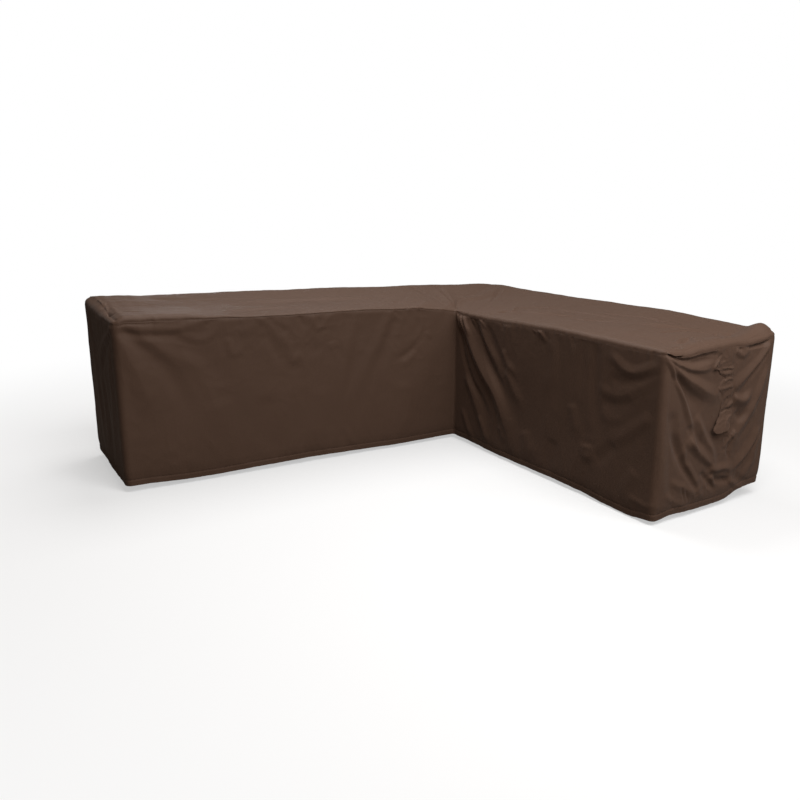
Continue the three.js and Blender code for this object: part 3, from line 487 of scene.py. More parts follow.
        ([(312, 86), (340, 74), (366, 58)], (16, 14), (4, 3), 0.4, 0, 0.4),
        ([(470, 330), (436, 352), (420, 396)], (9, 10), (3, 3), 0.8, 0, 0.4),
        ([(486, 352), (462, 368), (452, 400)], (8, 8), (-3, -3), 0.8, 0, 0.4),
        ([(398, 306), (440, 298), (476, 300)], (9, 11), (-6, -8), 0.6, 0, 0.5, 0.7),
        ([(372, 356), (410, 344), (456, 350)], (10, 10), (2, 2), 0.8, 0, 0.3, 0.5),
    ],
}
folds = {where: [usual_fold | dict(zip(fold_columns, row)) for row in rows]
         for where, rows in fold_rows.items()}


def eased_path(path):
    """Points of a smooth curve through the places of a path."""
    points = np.array(path, dtype=float)
    before = np.vstack([2 * points[:1] - points[1:2], points])
    ends = np.vstack([before, 2 * points[-1:] - points[-2:-1]])
    curve = []
    for index in range(1, len(ends) - 2):
        p0, p1, p2, p3 = ends[index - 1:index + 3]
        for t in np.arange(CURVE_STEPS) / CURVE_STEPS:
            curve.append(0.5 * (2 * p1 + (p2 - p0) * t + (2 * p0 - 5 * p1 + 4 * p2 - p3) * t * t
                                + (3 * p1 - p0 - 3 * p2 + p3) * t ** 3))
    curve.append(points[-1])
    return np.array(curve)


def fold_height(entry, u, v):
    """How far one fold lifts each place (u, v)."""
    curve = eased_path(entry["path"])
    reach = (max(entry["width"]) + CREST_RADIUS) * (1 + abs(entry["lean"]))
    low, high = curve.min(axis=0) - reach, curve.max(axis=0) + reach
    near = (u > low[0]) & (u < high[0]) & (v > low[1]) & (v < high[1])
    lift = np.zeros(u.shape)
    if not near.any():
        return lift
    pu, pv = u[near], v[near]
    steps = np.diff(curve, axis=0)
    lengths = np.hypot(steps[:, 0], steps[:, 1])
    total, done = lengths.sum(), 0.0
    best = np.full(pu.shape, np.inf)
    aside, share = np.zeros(pu.shape), np.zeros(pu.shape)
    for index, (step, length) in enumerate(zip(steps, lengths)):
        du, dv = step / length
        forward = (pu - curve[index][0]) * du + (pv - curve[index][1]) * dv
        side = (pu - curve[index][0]) * dv - (pv - curve[index][1]) * du
        lowest = -np.inf if index == 0 else 0.0
        highest = np.inf if index == len(lengths) - 1 else length
        held = np.clip(forward, lowest, highest)
        distance = np.hypot(forward - held, side)
        closer = distance < best
        best = np.where(closer, distance, best)
        aside = np.where(closer, np.copysign(distance, side), aside)
        share = np.where(closer, (done + held) / total, share)
        done += length
    part = np.clip(share, 0, 1)
    half = entry["width"][0] + (entry["width"][1] - entry["width"][0]) * part
    half = half * np.where(aside > 0, 1 + entry["lean"], 1 - entry["lean"])
    off_crest = np.minimum((np.hypot(aside, CREST_RADIUS) - CREST_RADIUS) / half, 1.0)
    tented = (1 - off_crest) ** CREST_POWER
    rounded = (1 - off_crest ** 2) ** 2
    crest = entry["crisp"] * tented + (1 - entry["crisp"]) * rounded
    fade_in = smooth_step(share / FADE_IN_LENGTH + entry["start"])
    fade_out = smooth_step((FADED_OUT_AT - share) / FADE_OUT_LENGTH * entry["end"])
    rise = entry["rise"][0] + (entry["rise"][1] - entry["rise"][0]) * part
    lift[near] = rise * crest * fade_in * fade_out
    return lift


def folds_of(where, u, v):
    total = np.zeros(u.shape)
    for entry in folds[where]:
        total += fold_height(entry, u, v)
    return total


# Small unevenness of the cloth in layers: rise, size along the wall or X, size down the wall or Y
SLACK_LAYERS = ((4.0, 300, 460), (2.0, 130, 240))
CREASE_LAYERS = ((2.0, 150, 190), (0.8, 62, 74))
HEM_LAYERS = ((1.5, 17, 120), (1.8, 70, 400))
TOP_SLACK_LAYERS = ((4.0, 420, 420), (2.0, 170, 170))


def layered(pattern, layers, x, y, seed):
    """Sum of some layers of noise or of creases, each with the next seed."""
    return sum(rise * pattern(x / size_x, y / size_y, seed + index)
               for index, (rise, size_x, size_y) in enumerate(layers))


# Turned hem: its depth, the hollow along its stitches, how much fuller it is than one cloth, how far
# the waves of the hem reach up from it, and how far the last tenth of the wall is drawn in
HEM_BAND = 30.0
HEM_STITCH_HOLLOW = 1.4
HEM_STITCH_REACH = 5.0
HEM_FULLER = 0.8
HEM_WAVE_REACH = 26.0
HEM_DRAWN_IN = 5.0
# How far from a corner its two walls are brought together, and the drops at which that is worked out
CORNER_BLEND = 80.0
CORNER_DROPS = np.arange(0, 900, 3.0)
# How far below the seam the slack is full, and how far the seam's tuck reaches down
SLACK_FULL_DROP = 18.0
TUCK_REACH = 3.2
TUCK_REACH_BY_DEPTH = 0.3


def seam_gather(name, along, drop):
    """Small gathers that run from the seam down the cloth, and over the rolled edge above it."""
    seed = NAMES.index(name) * 7
    slanted = along + 0.35 * drop * noise(along / 160, along * 0, seed + 12)
    length = 34 + 26 * noise(along / 75, along * 0, seed + 13)
    amount = 0.5 + 0.5 * noise(along / 120, along * 0, seed + 14)
    wave = 2.6 * noise(slanted / 27, drop / 400, seed + 6)
    wave = wave + 1.3 * creases(slanted / 24, drop / 130, seed + 8)
    return wave * (0.45 + amount) * np.exp(-drop / length)


# Share of the small creases on each wall, where it isn't all of them
calmness = {"inner_right": 0.5, "left_end": 0.6, "inner_left": 0.8, "right_end": 0.8}

# How far below the seam the folds are full, how far above the hem they start to fade and how much,
# and how far from a calm end of a wall they are full, with their share at that end
FOLD_FULL_DROP = 14.0
FOLD_FADE_ABOVE_HEM = 70
FOLD_FADE_AT_HEM = 0.6
CALM_END_REACH = 60.0
CALM_END_SHARE = 0.2


def fold_share(name, along, drop, height):
    """How full the folds are: none at the seam, few at the hem, the inner corner and the far right one."""
    to_hem = smooth_step((FOLD_FADE_ABOVE_HEM - height + drop) / FOLD_FADE_ABOVE_HEM)
    share = smooth_step(drop / FOLD_FULL_DROP) * (1 - FOLD_FADE_AT_HEM * to_hem)
    to_end = walls[name]["length"] - along
    calm_ends = {"inner_right": along, "inner_left": to_end, "right_end": to_end}
    if name in calm_ends:
        from_end = smooth_step(calm_ends[name] / CALM_END_REACH)
        share = share * (CALM_END_SHARE + (1 - CALM_END_SHARE) * from_end)
    return share


def own_offset(name, along, drop, height):
    """How far the hanging cloth stands out of its wall, before the corners are joined."""
    seed = NAMES.index(name) * 7
    slack = layered(noise, SLACK_LAYERS, along, drop, seed + 1)
    fine = layered(creases, CREASE_LAYERS, along, drop, seed + 3)
    patchy = smooth_step(0.5 + 1.2 * noise(along / 240, drop / 210, seed + 5))
    from_hem = height - drop
    stitched = np.exp(-(((from_hem - HEM_BAND) / HEM_STITCH_REACH) ** 2))
    near_hem = np.exp(-np.maximum(from_hem - HEM_BAND, 0) / HEM_WAVE_REACH)
    small = (fine * patchy + crumple_height(name, along, drop, seed + 11)) * calmness.get(name, 1.0)
    offset = folds_of(name, along, drop) * fold_share(name, along, drop, height)
    offset += (slack + small) * smooth_step(drop / SLACK_FULL_DROP)
    offset += seam_gather(name, along, drop)
    offset += layered(noise, HEM_LAYERS, along, drop, seed + 9) * near_hem
    offset += HEM_FULLER * smooth_step((HEM_BAND - from_hem) / 3.0) - HEM_STITCH_HOLLOW * stitched
    return offset


def wall_offset(name, along, drop, height):
    """How far the hanging cloth stands out of its wall, the same on both walls of a corner."""
    wall = walls[name]
    offset = own_offset(name, along, drop, height)
    for side, distance in (("start", along), ("end", wall["length"] - along)):
        share = smooth_step(1 - distance / CORNER_BLEND)
        offset = offset + share * np.interp(drop, CORNER_DROPS, wall[side + "_shift"])
    drawn_in = HEM_DRAWN_IN * smooth_step(drop / height * 10 - 9)
    return offset - drawn_in


# Places where the cloth is crumpled: wall, along, drop, reach along, reach down, crease size, rise
crumpled = [
    ("right_end", 430, 190, 80, 110, 46, 3.6),
    ("right_end", 470, 470, 70, 90, 34, 3.9),
    ("right_end", 400, 640, 150, 70, 50, 3),
    ("right_end", 200, 660, 150, 70, 66, 2.7),
    ("right_end", 610, 700, 90, 60, 52, 2.7),
    ("right_end", 90, 26, 70, 34, 30, 2.4),
    ("right_end", 560, 60, 80, 60, 44, 2.4),
    ("right_end", 250, 400, 180, 180, 90, 2.1),
    ("right_end", 620, 400, 100, 220, 90, 2.1),
    ("inner_right", 520, 240, 160, 200, 80, 2.1),
    ("inner_right", 1340, 190, 190, 160, 80, 2.1),
    ("inner_right", 1120, 560, 160, 110, 80, 2.1),
    ("inner_right", 1500, 690, 90, 60, 44, 2.4),
    ("inner_right", 720, 80, 200, 60, 50, 1.8),
    ("inner_left", 620, 150, 160, 120, 80, 1.8),
    ("inner_left", 1050, 150, 220, 150, 76, 2.1),
    ("inner_left", 1650, 180, 200, 170, 70, 2.1),
    ("left_end", 600, 120, 120, 160, 60, 3.6),
    ("left_end", 300, 200, 200, 200, 80, 3),
]


def crumple_height(name, along, drop, seed):
    total = np.zeros(along.shape)
    for index, (where, centre, low, reach_along, reach_down, size, rise) in enumerate(crumpled):
        if where == name:
            window = np.exp(-(((along - centre) / reach_along) ** 2) - ((drop - low) / reach_down) ** 2)
            u, v = along / size, drop / size
            pattern = creases(u, v, seed + index) + 0.6 * noise(u, v, seed)
            total += rise * window * pattern
    return total


# The seam on the right end does not hang straight: drop below the top's seam, shift along the wall
seam_shifts = [(0, -4), (90, -14), (180, -22), (230, -12), (300, 2), (420, -6), (520, 6), (620, 12),
               (800, 22)]
SEAM_SHIFT_REACH = 70.0


def seam_wander(name, along, drop):
    """How far the cloth beside the right end's seam is drawn along the wall."""
    if name != "right_end":
        return np.zeros(along.shape)
    drops, shifts = zip(*seam_shifts)
    window = np.exp(-(((along - RIGHT_END_SEAM) / SEAM_SHIFT_REACH) ** 2))
    return np.interp(drop, drops, shifts) * window


def wall_height(name, along):
    """Length of cloth from the seam to the hem."""
    wall = walls[name]
    seed = NAMES.index(name)
    hem = table_height(hem_heights[name], along / wall["length"])
    at_ends = smooth_step(along / 40) * smooth_step((wall["length"] - along) / 40)
    waver = 1.2 * noise(along / 90, along * 0, seed + 61) + 0.5 * noise(along / 26, along * 0, seed + 71)
    return seam_height(name, along) - SEAM_GAP - (hem + waver * at_ends)


def join_corners():
    """Half of the step between the two walls of every corner, down the corner."""
    for index, name in enumerate(NAMES):
        following = NAMES[(index + 1) % len(NAMES)]
        offsets = []
        for wall, place in ((name, walls[name]["length"]), (following, 0.0)):
            along = np.full(CORNER_DROPS.shape, place)
            offsets.append(own_offset(wall, along, CORNER_DROPS, wall_height(wall, along)))
        walls[name]["end_shift"] = (offsets[1] - offsets[0]) / 2
        walls[following]["start_shift"] = (offsets[0] - offsets[1]) / 2


join_corners()


def wall_place(name, along, drop, extra=0.0):
    """Outer face of the hanging cloth, in millimetres round the inner corner."""
    height = wall_height(name, along)
    offset = wall_offset(name, along, drop, height) + extra
    x, y, out_x, out_y = outline(name, along + seam_wander(name, along, drop))
    z = seam_height(name, along) - SEAM_GAP - drop
    depth = seam_tuck(name, along)
    reach = offset - depth * np.exp(-drop / (TUCK_REACH + TUCK_REACH_BY_DEPTH * depth))
    return np.stack([x + out_x * reach, y + out_y * reach, z], axis=-1)


# The plan drawing is set so that the footprint is centred on the origin
top_low, top_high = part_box("top_panel")
plan_points = [outline(name, np.linspace(0, walls[name]["length"], 60)) for name in walls]
plan_x = np.concatenate([points[0] for points in plan_points])
plan_y = np.concatenate([points[1] for points in plan_points])
OFFSET = np.array([
    (top_low[0] + top_high[0]) / 2 / MM - (plan_x.min() + plan_x.max()) / 2,
    (top_low[1] + top_high[1]) / 2 / MM - (plan_y.min() + plan_y.max()) / 2,
    0.0,
])


def link_facing_outward(piece):
    """Put a piece in the scene with its faces turned outward, and leave it as the active one."""
    bpy.context.scene.collection.objects.link(piece)
    bpy.ops.object.select_all(action="DESELECT")
    piece.select_set(True)
    bpy.context.view_layer.objects.active = piece
    bpy.ops.object.mode_set(mode="EDIT")
    bpy.ops.mesh.select_all(action="SELECT")
    bpy.ops.mesh.normals_make_consistent(inside=False)
    bpy.ops.object.mode_set(mode="OBJECT")


# Edges flatter than this many degrees are shaded smooth
SMOOTH_BELOW_ANGLE = 60


def finish_sheet(name, places, quads, flat_places):
    """Mesh object from the outer face of a sheet, with its flat cloth coordinates, given thickness."""
    mesh = bpy.data.meshes.new(name)
    vertices = (places.reshape(-1, 3) + OFFSET) * MM
    mesh.from_pydata(vertices.tolist(), [], quads.tolist())
    mesh.update()
    layer = mesh.uv_layers.new(name="cloth_flat")
    loops = np.empty(len(mesh.loops), dtype=np.int32)
    mesh.loops.foreach_get("vertex_index", loops)
    layer.data.foreach_set("uv", (flat_places.reshape(-1, 2)[loops] * MM).ravel())
    piece = bpy.data.objects.new(name, mesh)
    link_facing_outward(piece)
    thickness = piece.modifiers.new("thickness", "SOLIDIFY")
    thickness.thickness = CLOTH_THICKNESS * MM
    thickness.offset = -1.0
    bpy.ops.object.modifier_apply(modifier="thickness")
    bpy.ops.object.shade_smooth_by_angle(angle=math.radians(SMOOTH_BELOW_ANGLE))
    bpy.ops.object.select_all(action="DESELECT")
    return piece


def grid_quads(columns, rows):
    column, row = np.meshgrid(np.arange(columns - 1), np.arange(rows - 1), indexing="ij")
    corner = (column * rows + row).ravel()
    return np.stack([corner, corner + 1, corner + rows + 1, corner + rows], axis=-1)


def spaced(start, stop, step):
    """Even distances from start to stop, about a step apart."""
    count = max(2, int(round((stop - start) / step)) + 1)
    return np.linspace(start, stop, count)


# Machine stitches: distance from a seam, length of one, distance from one to the next, thread's radius
SEAM_STITCHES = 7.0
STITCH_LENGTH = 4.8
STITCH_PITCH = 6.8
THREAD_RADIUS = 0.55
# Places along one stitch: share of its length, height above the cloth
stitch_profile = ((0, -0.5), (0.2, 0.0), (0.5, 0.3), (0.8, 0.0), (1, -0.5))


def level_line(places, levels):
    """A line across a panel's face at row numbers that needn't be whole, and its directions outward."""
    column = np.arange(len(places))
    levels = levels + np.zeros(len(places))
    low = np.clip(np.floor(levels).astype(int), 0, places.shape[1] - 2)
    part = (levels - low)[:, None]
    upper, lower = places[column, low], places[column, low + 1]
    line = upper * (1 - part) + lower * part
    outward = np.cross(lower - upper, np.gradient(line, axis=0))
    return line, outward / np.linalg.norm(outward, axis=1)[:, None]


def stitching(name, rows):
    """One mesh of the stitches along some lines: each is a closed spindle that dips in at its ends."""
    stitches = []
    for line, outward in rows:
        walked = np.concatenate([[0], np.cumsum(np.linalg.norm(np.diff(line, axis=0), axis=1))])
        starts = np.arange(STITCH_PITCH, walked[-1] - STITCH_PITCH, STITCH_PITCH)
        centres, away = [], []
        for share, lift in stitch_profile:
            at = starts + share * STITCH_LENGTH
            point = np.stack([np.interp(at, walked, line[:, axis]) for axis in range(3)], axis=-1)
            away.append(np.stack([np.interp(at, walked, outward[:, axis]) for axis in range(3)], axis=-1))
            centres.append(point + lift * away[-1])
        side = np.cross(away[2], centres[4] - centres[0])
        side /= np.linalg.norm(side, axis=1)[:, None]
        spindle = [centres[0]]
        for ring in (1, 2, 3):
            for across, up in ((1, 0), (0, 1), (-1, 0), (0, -1)):
                spindle.append(centres[ring] + THREAD_RADIUS * (across * side + up * away[ring]))
        spindle.append(centres[4])
        stitches.append(np.stack(spindle, axis=1))
    stitches = np.concatenate(stitches)
    rings, tail = (1, 5, 9), 13
    sides = [(turn, (turn + 1) % 4) for turn in range(4)]
    one = [(0, rings[0] + a, rings[0] + b) for a, b in sides]
    one += [(tail, rings[2] + b, rings[2] + a) for a, b in sides]
    for first, second in zip(rings, rings[1:]):
        one += [(first + a, second + a, second + b, first + b) for a, b in sides]
    faces = [tuple((tail + 1) * index + corner for corner in face)
             for index in range(len(stitches)) for face in one]
    mesh = bpy.data.meshes.new(name)
    mesh.from_pydata(((stitches.reshape(-1, 3) + OFFSET) * MM).tolist(), [], faces)
    mesh.update()
    piece = bpy.data.objects.new(name, mesh)
    link_facing_outward(piece)
    bpy.ops.object.shade_smooth()
    bpy.ops.object.select_all(action="DESELECT")
    return piece


# Rows of a panel: count and step under the seam and at the hem, and the bands between them, each with
# its depth and its step as a multiple of the panel's fine step
SEAM_ROWS, SEAM_ROW_STEP = 8, 1.2
HEM_ROWS, HEM_ROW_STEP = 14, 2.6
row_bands = ((130, 1), (330, 1.35), (260, 1.6))


def row_drops(fine):
    """Shares of the height, closer together under the seam."""
    steps = [np.full(SEAM_ROWS, SEAM_ROW_STEP)]
    steps += [np.full(int(depth / (fine * coarser)), fine * coarser) for depth, coarser in row_bands]
    steps.append(np.full(HEM_ROWS, HEM_ROW_STEP))
    drops = np.concatenate([[0], np.cumsum(np.concatenate(steps))])
    return drops / drops[-1]


def hanging_panel(name, stretches, fine):
    """One skirt length over one or two walls: each stretch is a wall, its start, stop and step."""
    shares = row_drops(fine)
    places, flat_places = [], []
    walked = 0.0
    for index, (wall, start, stop, step) in enumerate(stretches):
        along = spaced(start, stop, step)[min(index, 1):]
        grid_along = np.repeat(along[:, None], len(shares), axis=1)
        height = wall_height(wall, grid_along)
        drop = height * shares[None, :]
        places.append(wall_place(wall, grid_along, drop))
        flat_places.append(np.stack([walked + grid_along - start, -drop], axis=-1))
        walked += stop - start
    places, flat_places = np.concatenate(places), np.concatenate(flat_places)
    heights = -flat_places[:, -1, 1]
    numbers = np.arange(len(shares))
    turned = places.transpose(1, 0, 2)[:, ::-1]
    rows = [
        level_line(places, np.interp(SEAM_STITCHES / heights, shares, numbers)),
        level_line(places, np.interp(1 - HEM_BAND / heights, shares, numbers)),
        level_line(turned, SEAM_STITCHES / stretches[-1][3]),
        level_line(turned, places.shape[0] - 1 - SEAM_STITCHES / stretches[0][3]),
    ]
    piece = finish_sheet(name, places, grid_quads(places.shape[0], places.shape[1]), flat_places)
    return piece, stitching(name + "_stitches", rows)


inner_right, inner_right_stitches = hanging_panel("cloth_inner_right", [
    ("inner_right", 0, 560, 7.0),
    ("inner_right", 560, 1300, 10.5),
    ("inner_right", 1300, walls["inner_right"]["length"], 6.0),
    ("right_end", 0, RIGHT_END_SEAM, 4.6),
], 4.2)
outer_right, outer_right_stitches = hanging_panel("cloth_outer_right", [
    ("right_end", RIGHT_END_SEAM, walls["right_end"]["length"], 4.4),
    ("back_right", 0, 300, 8.0),
    ("back_right", 300, walls["back_right"]["length"], 14.0),
], 4.6)
outer_left, outer_left_stitches = hanging_panel("cloth_outer_left", [
    ("back_left", 0, walls["back_left"]["length"], 14.0),
    ("left_end", 0, LEFT_END_SEAM, 8.0),
], 5.0)
inner_left, inner_left_stitches = hanging_panel("cloth_inner_left", [
    ("left_end", LEFT_END_SEAM, walls["left_end"]["length"], 8.0),
    ("inner_left", 0, 340, 6.5),
    ("inner_left", 340, walls["inner_left"]["length"], 8.0),
], 4.6)

# Humps and hollows of the top: place in plan, reach along X, reach along Y, rise
top_forms = [
    (712, -1452, 60, 62, 20),
    (560, -1380, 110, 120, -8),
    (640, -820, 80, 260, 8),
    (360, -700, 190, 520, -16),
    (380, 330, 260, 200, -8),
    (-900, 400, 650, 170, -14),
    (-1885, 690, 70, 90, 9),
]
# How far from its edge the top is as full as it gets, the share of its folds at the edge, how far in
# the small gathers of the edge reach, and where they are full
TOP_FULL_FROM_EDGE = 40
TOP_FOLDS_AT_EDGE = 0.35
EDGE_GATHERS_REACH = 50
EDGE_GATHERS_FROM = 12


def top_rise(x, y, from_edge):
    """How far the top rises above the sheet that is drawn flat between its edges."""
    rise = np.zeros(x.shape)
    for form_x, form_y, reach_x, reach_y, form_rise in top_forms:
        rise += form_rise * np.exp(-(((x - form_x) / reach_x) ** 2) - ((y - form_y) / reach_y) ** 2)
    inside = smooth_step(from_edge / TOP_FULL_FROM_EDGE)
    rise += folds_of("top", x, y) * (TOP_FOLDS_AT_EDGE + (1 - TOP_FOLDS_AT_EDGE) * inside)
    wide = layered(noise, TOP_SLACK_LAYERS, x, y, 81)
    thin = 1.8 * creases(x / 230, y / 230, 83) * smooth_step(0.4 + 1.2 * noise(x / 300, y / 300, 84))
    edge_gathers = 2.2 * noise(x / 46, y / 46, 85) * np.exp(-from_edge / EDGE_GATHERS_REACH)
    return rise + (wide + thin) * inside + edge_gathers * smooth_step(from_edge / EDGE_GATHERS_FROM)


# Grid of the top: cells across a wing and along each wing, the usual size of a cell, how much smaller
# the cells are near the edges, and the angles of the rings round the rolled edge
ACROSS_CELLS = 94
LEFT_CELLS = 228
RIGHT_CELLS = 190
CELL = 8.1
CROWDING = 0.4
ROLL_ANGLES = (15, 30, 45, 60, 72)


def crowded(cells):
    """Shares from 0 to 1 with smaller steps at both ends."""
    share = np.linspace(0, 1, cells + 1)
    return share - CROWDING * np.sin(2 * np.pi * share) / (2 * np.pi)


def edge_ring(name, shares, set_in, sunk, tucked=0.0):
    """Points along one wall's top edge: set in from the outline and sunk below the edge, as shares
    of the roll's radius, and then tucked in at the seam."""
    along = shares * walls[name]["length"]
    x, y, out_x, out_y = outline(name, along)
    radius = roll_radius(name, along)
    z = edge_height(name, along) - sunk * radius
    reach = set_in * radius + tucked * seam_tuck(name, along) - sunk * seam_gather(name, along, along * 0)
    return np.stack([x - out_x * reach, y - out_y * reach, z], axis=-1)


def patch(first, second, close_start, close_end):
    """Grid between two long edges and the two that close them."""
    u = np.linspace(0, 1, len(first))[:, None, None]
    v = np.linspace(0, 1, len(close_start))[None, :, None]
    between_long = first[:, None] * (1 - v) + second[:, None] * v
    between_close = close_start[None] * (1 - u) + close_end[None] * u
    start_side = first[0] * (1 - v) + second[0] * v
    end_side = first[-1] * (1 - v) + second[-1] * v
    return between_long + between_close - (start_side * (1 - u) + end_side * u)


def make_top():
    """The L-shaped top: a patch for each wing that meet on the diagonal, and the rolled edge."""
    shares = {
        "inner_right": crowded(RIGHT_CELLS), "right_end": crowded(ACROSS_CELLS),
        "back_right": crowded(RIGHT_CELLS), "back_left": crowded(LEFT_CELLS),
        "left_end": crowded(ACROSS_CELLS), "inner_left": crowded(LEFT_CELLS),
    }
    flat_edge = {name: edge_ring(name, shares[name], 1, 0) for name in walls}
    across = np.linspace(0, 1, ACROSS_CELLS + 1)[:, None]
    diagonal = flat_edge["inner_right"][0] * (1 - across) + flat_edge["back_right"][-1] * across
    left = patch(flat_edge["inner_left"], flat_edge["back_left"][::-1], flat_edge["left_end"][::-1], diagonal)
    right = patch(flat_edge["inner_right"], flat_edge["back_right"][::-1], diagonal, flat_edge["right_end"])
    grid = np.concatenate([left[:-1], right])
    stride = ACROSS_CELLS + 1
    long_index = np.arange(grid.shape[0])[:, None]
    cross_index = np.arange(stride)[None, :]
    from_edge = np.minimum(
        np.minimum(long_index, grid.shape[0] - 1 - long_index) * CELL,
        np.minimum(cross_index, ACROSS_CELLS - cross_index) * CELL,
    )
    grid[..., 2] += top_rise(grid[..., 0], grid[..., 1], from_edge)
    cells = grid.shape[0] - 1
    column, row = np.meshgrid(np.arange(cells), np.arange(ACROSS_CELLS), indexing="ij")
    corner = (column * stride + row).ravel()
    quads = [np.stack([corner, corner + stride, corner + stride + 1, corner + 1], axis=-1)]
    loop = np.concatenate([
        np.arange(LEFT_CELLS, cells) * stride,
        cells * stride + np.arange(ACROSS_CELLS),
        np.arange(cells, 0, -1) * stride + ACROSS_CELLS,
        np.arange(ACROSS_CELLS, 0, -1),
        np.arange(LEFT_CELLS) * stride,
    ])
    places = [grid.reshape(-1, 3)]
    count = len(places[0])
    inner_loop = loop
    rings = [(1 - math.sin(math.radians(angle)), 1 - math.cos(math.radians(angle)), 0.0)
             for angle in ROLL_ANGLES]
    rings.append((0.0, 1.0, 1.0))
    for set_in, sunk, tucked in rings:
        ring = np.concatenate([edge_ring(name, shares[name], set_in, sunk, tucked)[:-1] for name in walls])
        places.append(ring)
        ring_loop = count + np.arange(len(ring))
        count += len(ring)
        between = [inner_loop, ring_loop, np.roll(ring_loop, -1), np.roll(inner_loop, -1)]
        quads.append(np.stack(between, axis=-1))
        inner_loop = ring_loop
    places = np.concatenate(places)
    return finish_sheet("cloth_top", places, np.concatenate(quads), places[:, :2])


top = make_top()

# Vent flap: drops below the seam of its ends, its tip and where it comes free, and how far it lifts
FLAP_TOP, FLAP_BOTTOM = 6.0, 410.0
FLAP_TIP, FLAP_TIP_REACH = 92.0, 13.0
FLAP_SEWN_TO, FLAP_SEWN_FADE = 240, 60
FLAP_FREE_FROM, FLAP_FREE_REACH = 296, 115
FLAP_LIFT = 22.0
# How far its lower corners are raised, its sides sunk into the cloth and its tip raised off it
FLAP_LEFT_RAISED, FLAP_RIGHT_RAISED = 24, 14
FLAP_LEFT_SUNK, FLAP_RIGHT_SUNK = 3.2, 1.7
FLAP_TIP_RISE = 3.0
# Grid of the flap, the row of its hem's stitches, the columns of its side stitches counted from the
# right, and the row from which the left ones run
FLAP_COLUMNS, FLAP_ROWS = 46, 140
FLAP_HEM_ROW = 136.5
FLAP_SIDE_STITCHES = (2.5, 42.5)
FLAP_LEFT_STITCHES_FROM = 40
# Sides of the flap: drop below the seam, distance along the right end
flap_left = [(0, 372), (54, 368), (88, 310), (104, 354), (140, 378), (176, 358), (192, 360), (242, 404),
             (290, 394), (324, 386), (362, 362), (395, 340), (424, 338)]
flap_right = [(0, 470), (108, 468), (142, 474), (188, 482), (254, 476), (326, 480), (372, 463), (424, 464)]


def make_flap():
    """The vent flap: sewn down at its top and its sides, with a jagged tip, and free at its lower end."""
    across = np.linspace(0, 1, FLAP_COLUMNS)[:, None]
    down = np.linspace(0, 1, FLAP_ROWS)[None, :]
    drop = FLAP_TOP + (FLAP_BOTTOM - FLAP_TOP) * down
    left, right = table_height(flap_left, drop), table_height(flap_right, drop)
    along = left * (1 - across) + right * across
    drop = drop - (FLAP_LEFT_RAISED * (1 - across) ** 6 + FLAP_RIGHT_RAISED * across) * down ** 6
    tip = np.exp(-(((drop - FLAP_TIP) / FLAP_TIP_REACH) ** 2))
    sewn_down = 1 - smooth_step((drop - FLAP_SEWN_TO) / FLAP_SEWN_FADE)
    near_left = 1 - smooth_step(across * 3.5)
    near_right = 1 - smooth_step((1 - across) * 6)
    lifted = smooth_step((drop - FLAP_FREE_FROM) / FLAP_FREE_REACH)
    stand_off = CLOTH_THICKNESS + SEAM_GAP - FLAP_LEFT_SUNK * sewn_down * near_left * (1 - tip)
    stand_off = stand_off - FLAP_RIGHT_SUNK * near_right + FLAP_TIP_RISE * tip * near_left
    stand_off = stand_off + lifted * FLAP_LIFT * (0.75 + 0.25 * np.sin(np.pi * across))
    stand_off = stand_off + folds_of("flap", along, drop) + 1.4 * creases(along / 34, drop / 34, 91)
    places = wall_place("right_end", along, drop, stand_off)
    flat_places = np.stack([along - left, -drop], axis=-1)
    turned = places.transpose(1, 0, 2)[:, ::-1]
    right_side, left_side = FLAP_SIDE_STITCHES
    rows = [
        level_line(places, FLAP_HEM_ROW),
        level_line(turned, right_side),
        level_line(turned[FLAP_LEFT_STITCHES_FROM:], left_side),
    ]
    piece = finish_sheet("cloth_vent_flap", places, grid_quads(FLAP_COLUMNS, FLAP_ROWS), flat_places)
    return piece, stitching("cloth_vent_flap_stitches", rows)


flap, flap_stitches = make_flap()


# Materials
def node_group(name, inputs, outputs):
    group = bpy.data.node_groups.new(name, "ShaderNodeTree")
    for label, kind, value in inputs:
        socket = group.interface.new_socket(name=label, in_out="INPUT", socket_type=kind)
        if value is not None:
            socket.default_value = value
    for label, kind in outputs:
        group.interface.new_socket(name=label, in_out="OUTPUT", socket_type=kind)
    return group, group.nodes.new("NodeGroupInput"), group.nodes.new("NodeGroupOutput")


def feed(tree, socket, value):
    """Give a socket a plain number, or link it to the socket that the value comes from."""
    if isinstance(value, (int, float)):
        socket.default_value = value
    else:
        tree.links.new(value, socket)


def math_node(tree, operation, first, second=None):
    node = tree.nodes.new("ShaderNodeMath")
    node.operation = operation
    feed(tree, node.inputs[0], first)
    if second is not None:
        feed(tree, node.inputs[1], second)
    return node.outputs[0]


def noise_node(tree, vector, scale, detail):
    node = tree.nodes.new("ShaderNodeTexNoise")
    node.inputs["Detail"].default_value = detail
    tree.links.new(vector, node.inputs["Vector"])
    feed(tree, node.inputs["Scale"], scale)
    return node.outputs["Fac"]


def bump_node(tree, height, strength, distance, normal=None):
    """Bump from a height, laid over the bump that the normal comes from."""
    node = tree.nodes.new("ShaderNodeBump")
    node.inputs["Strength"].default_value = strength
    node.inputs["Distance"].default_value = distance
    tree.links.new(height, node.inputs["Height"])
    if normal is not None:
        tree.links.new(normal, node.inputs["Normal"])
    return node.outputs["Normal"]


def colour_mix(tree, share, first, second):
    node = tree.nodes.new("ShaderNodeMix")
    node.data_type = "RGBA"
    node.inputs["A"].default_value = first
    node.inputs["B"].default_value = second
    tree.links.new(share, node.inputs["Factor"])
    return node.outputs["Result"]


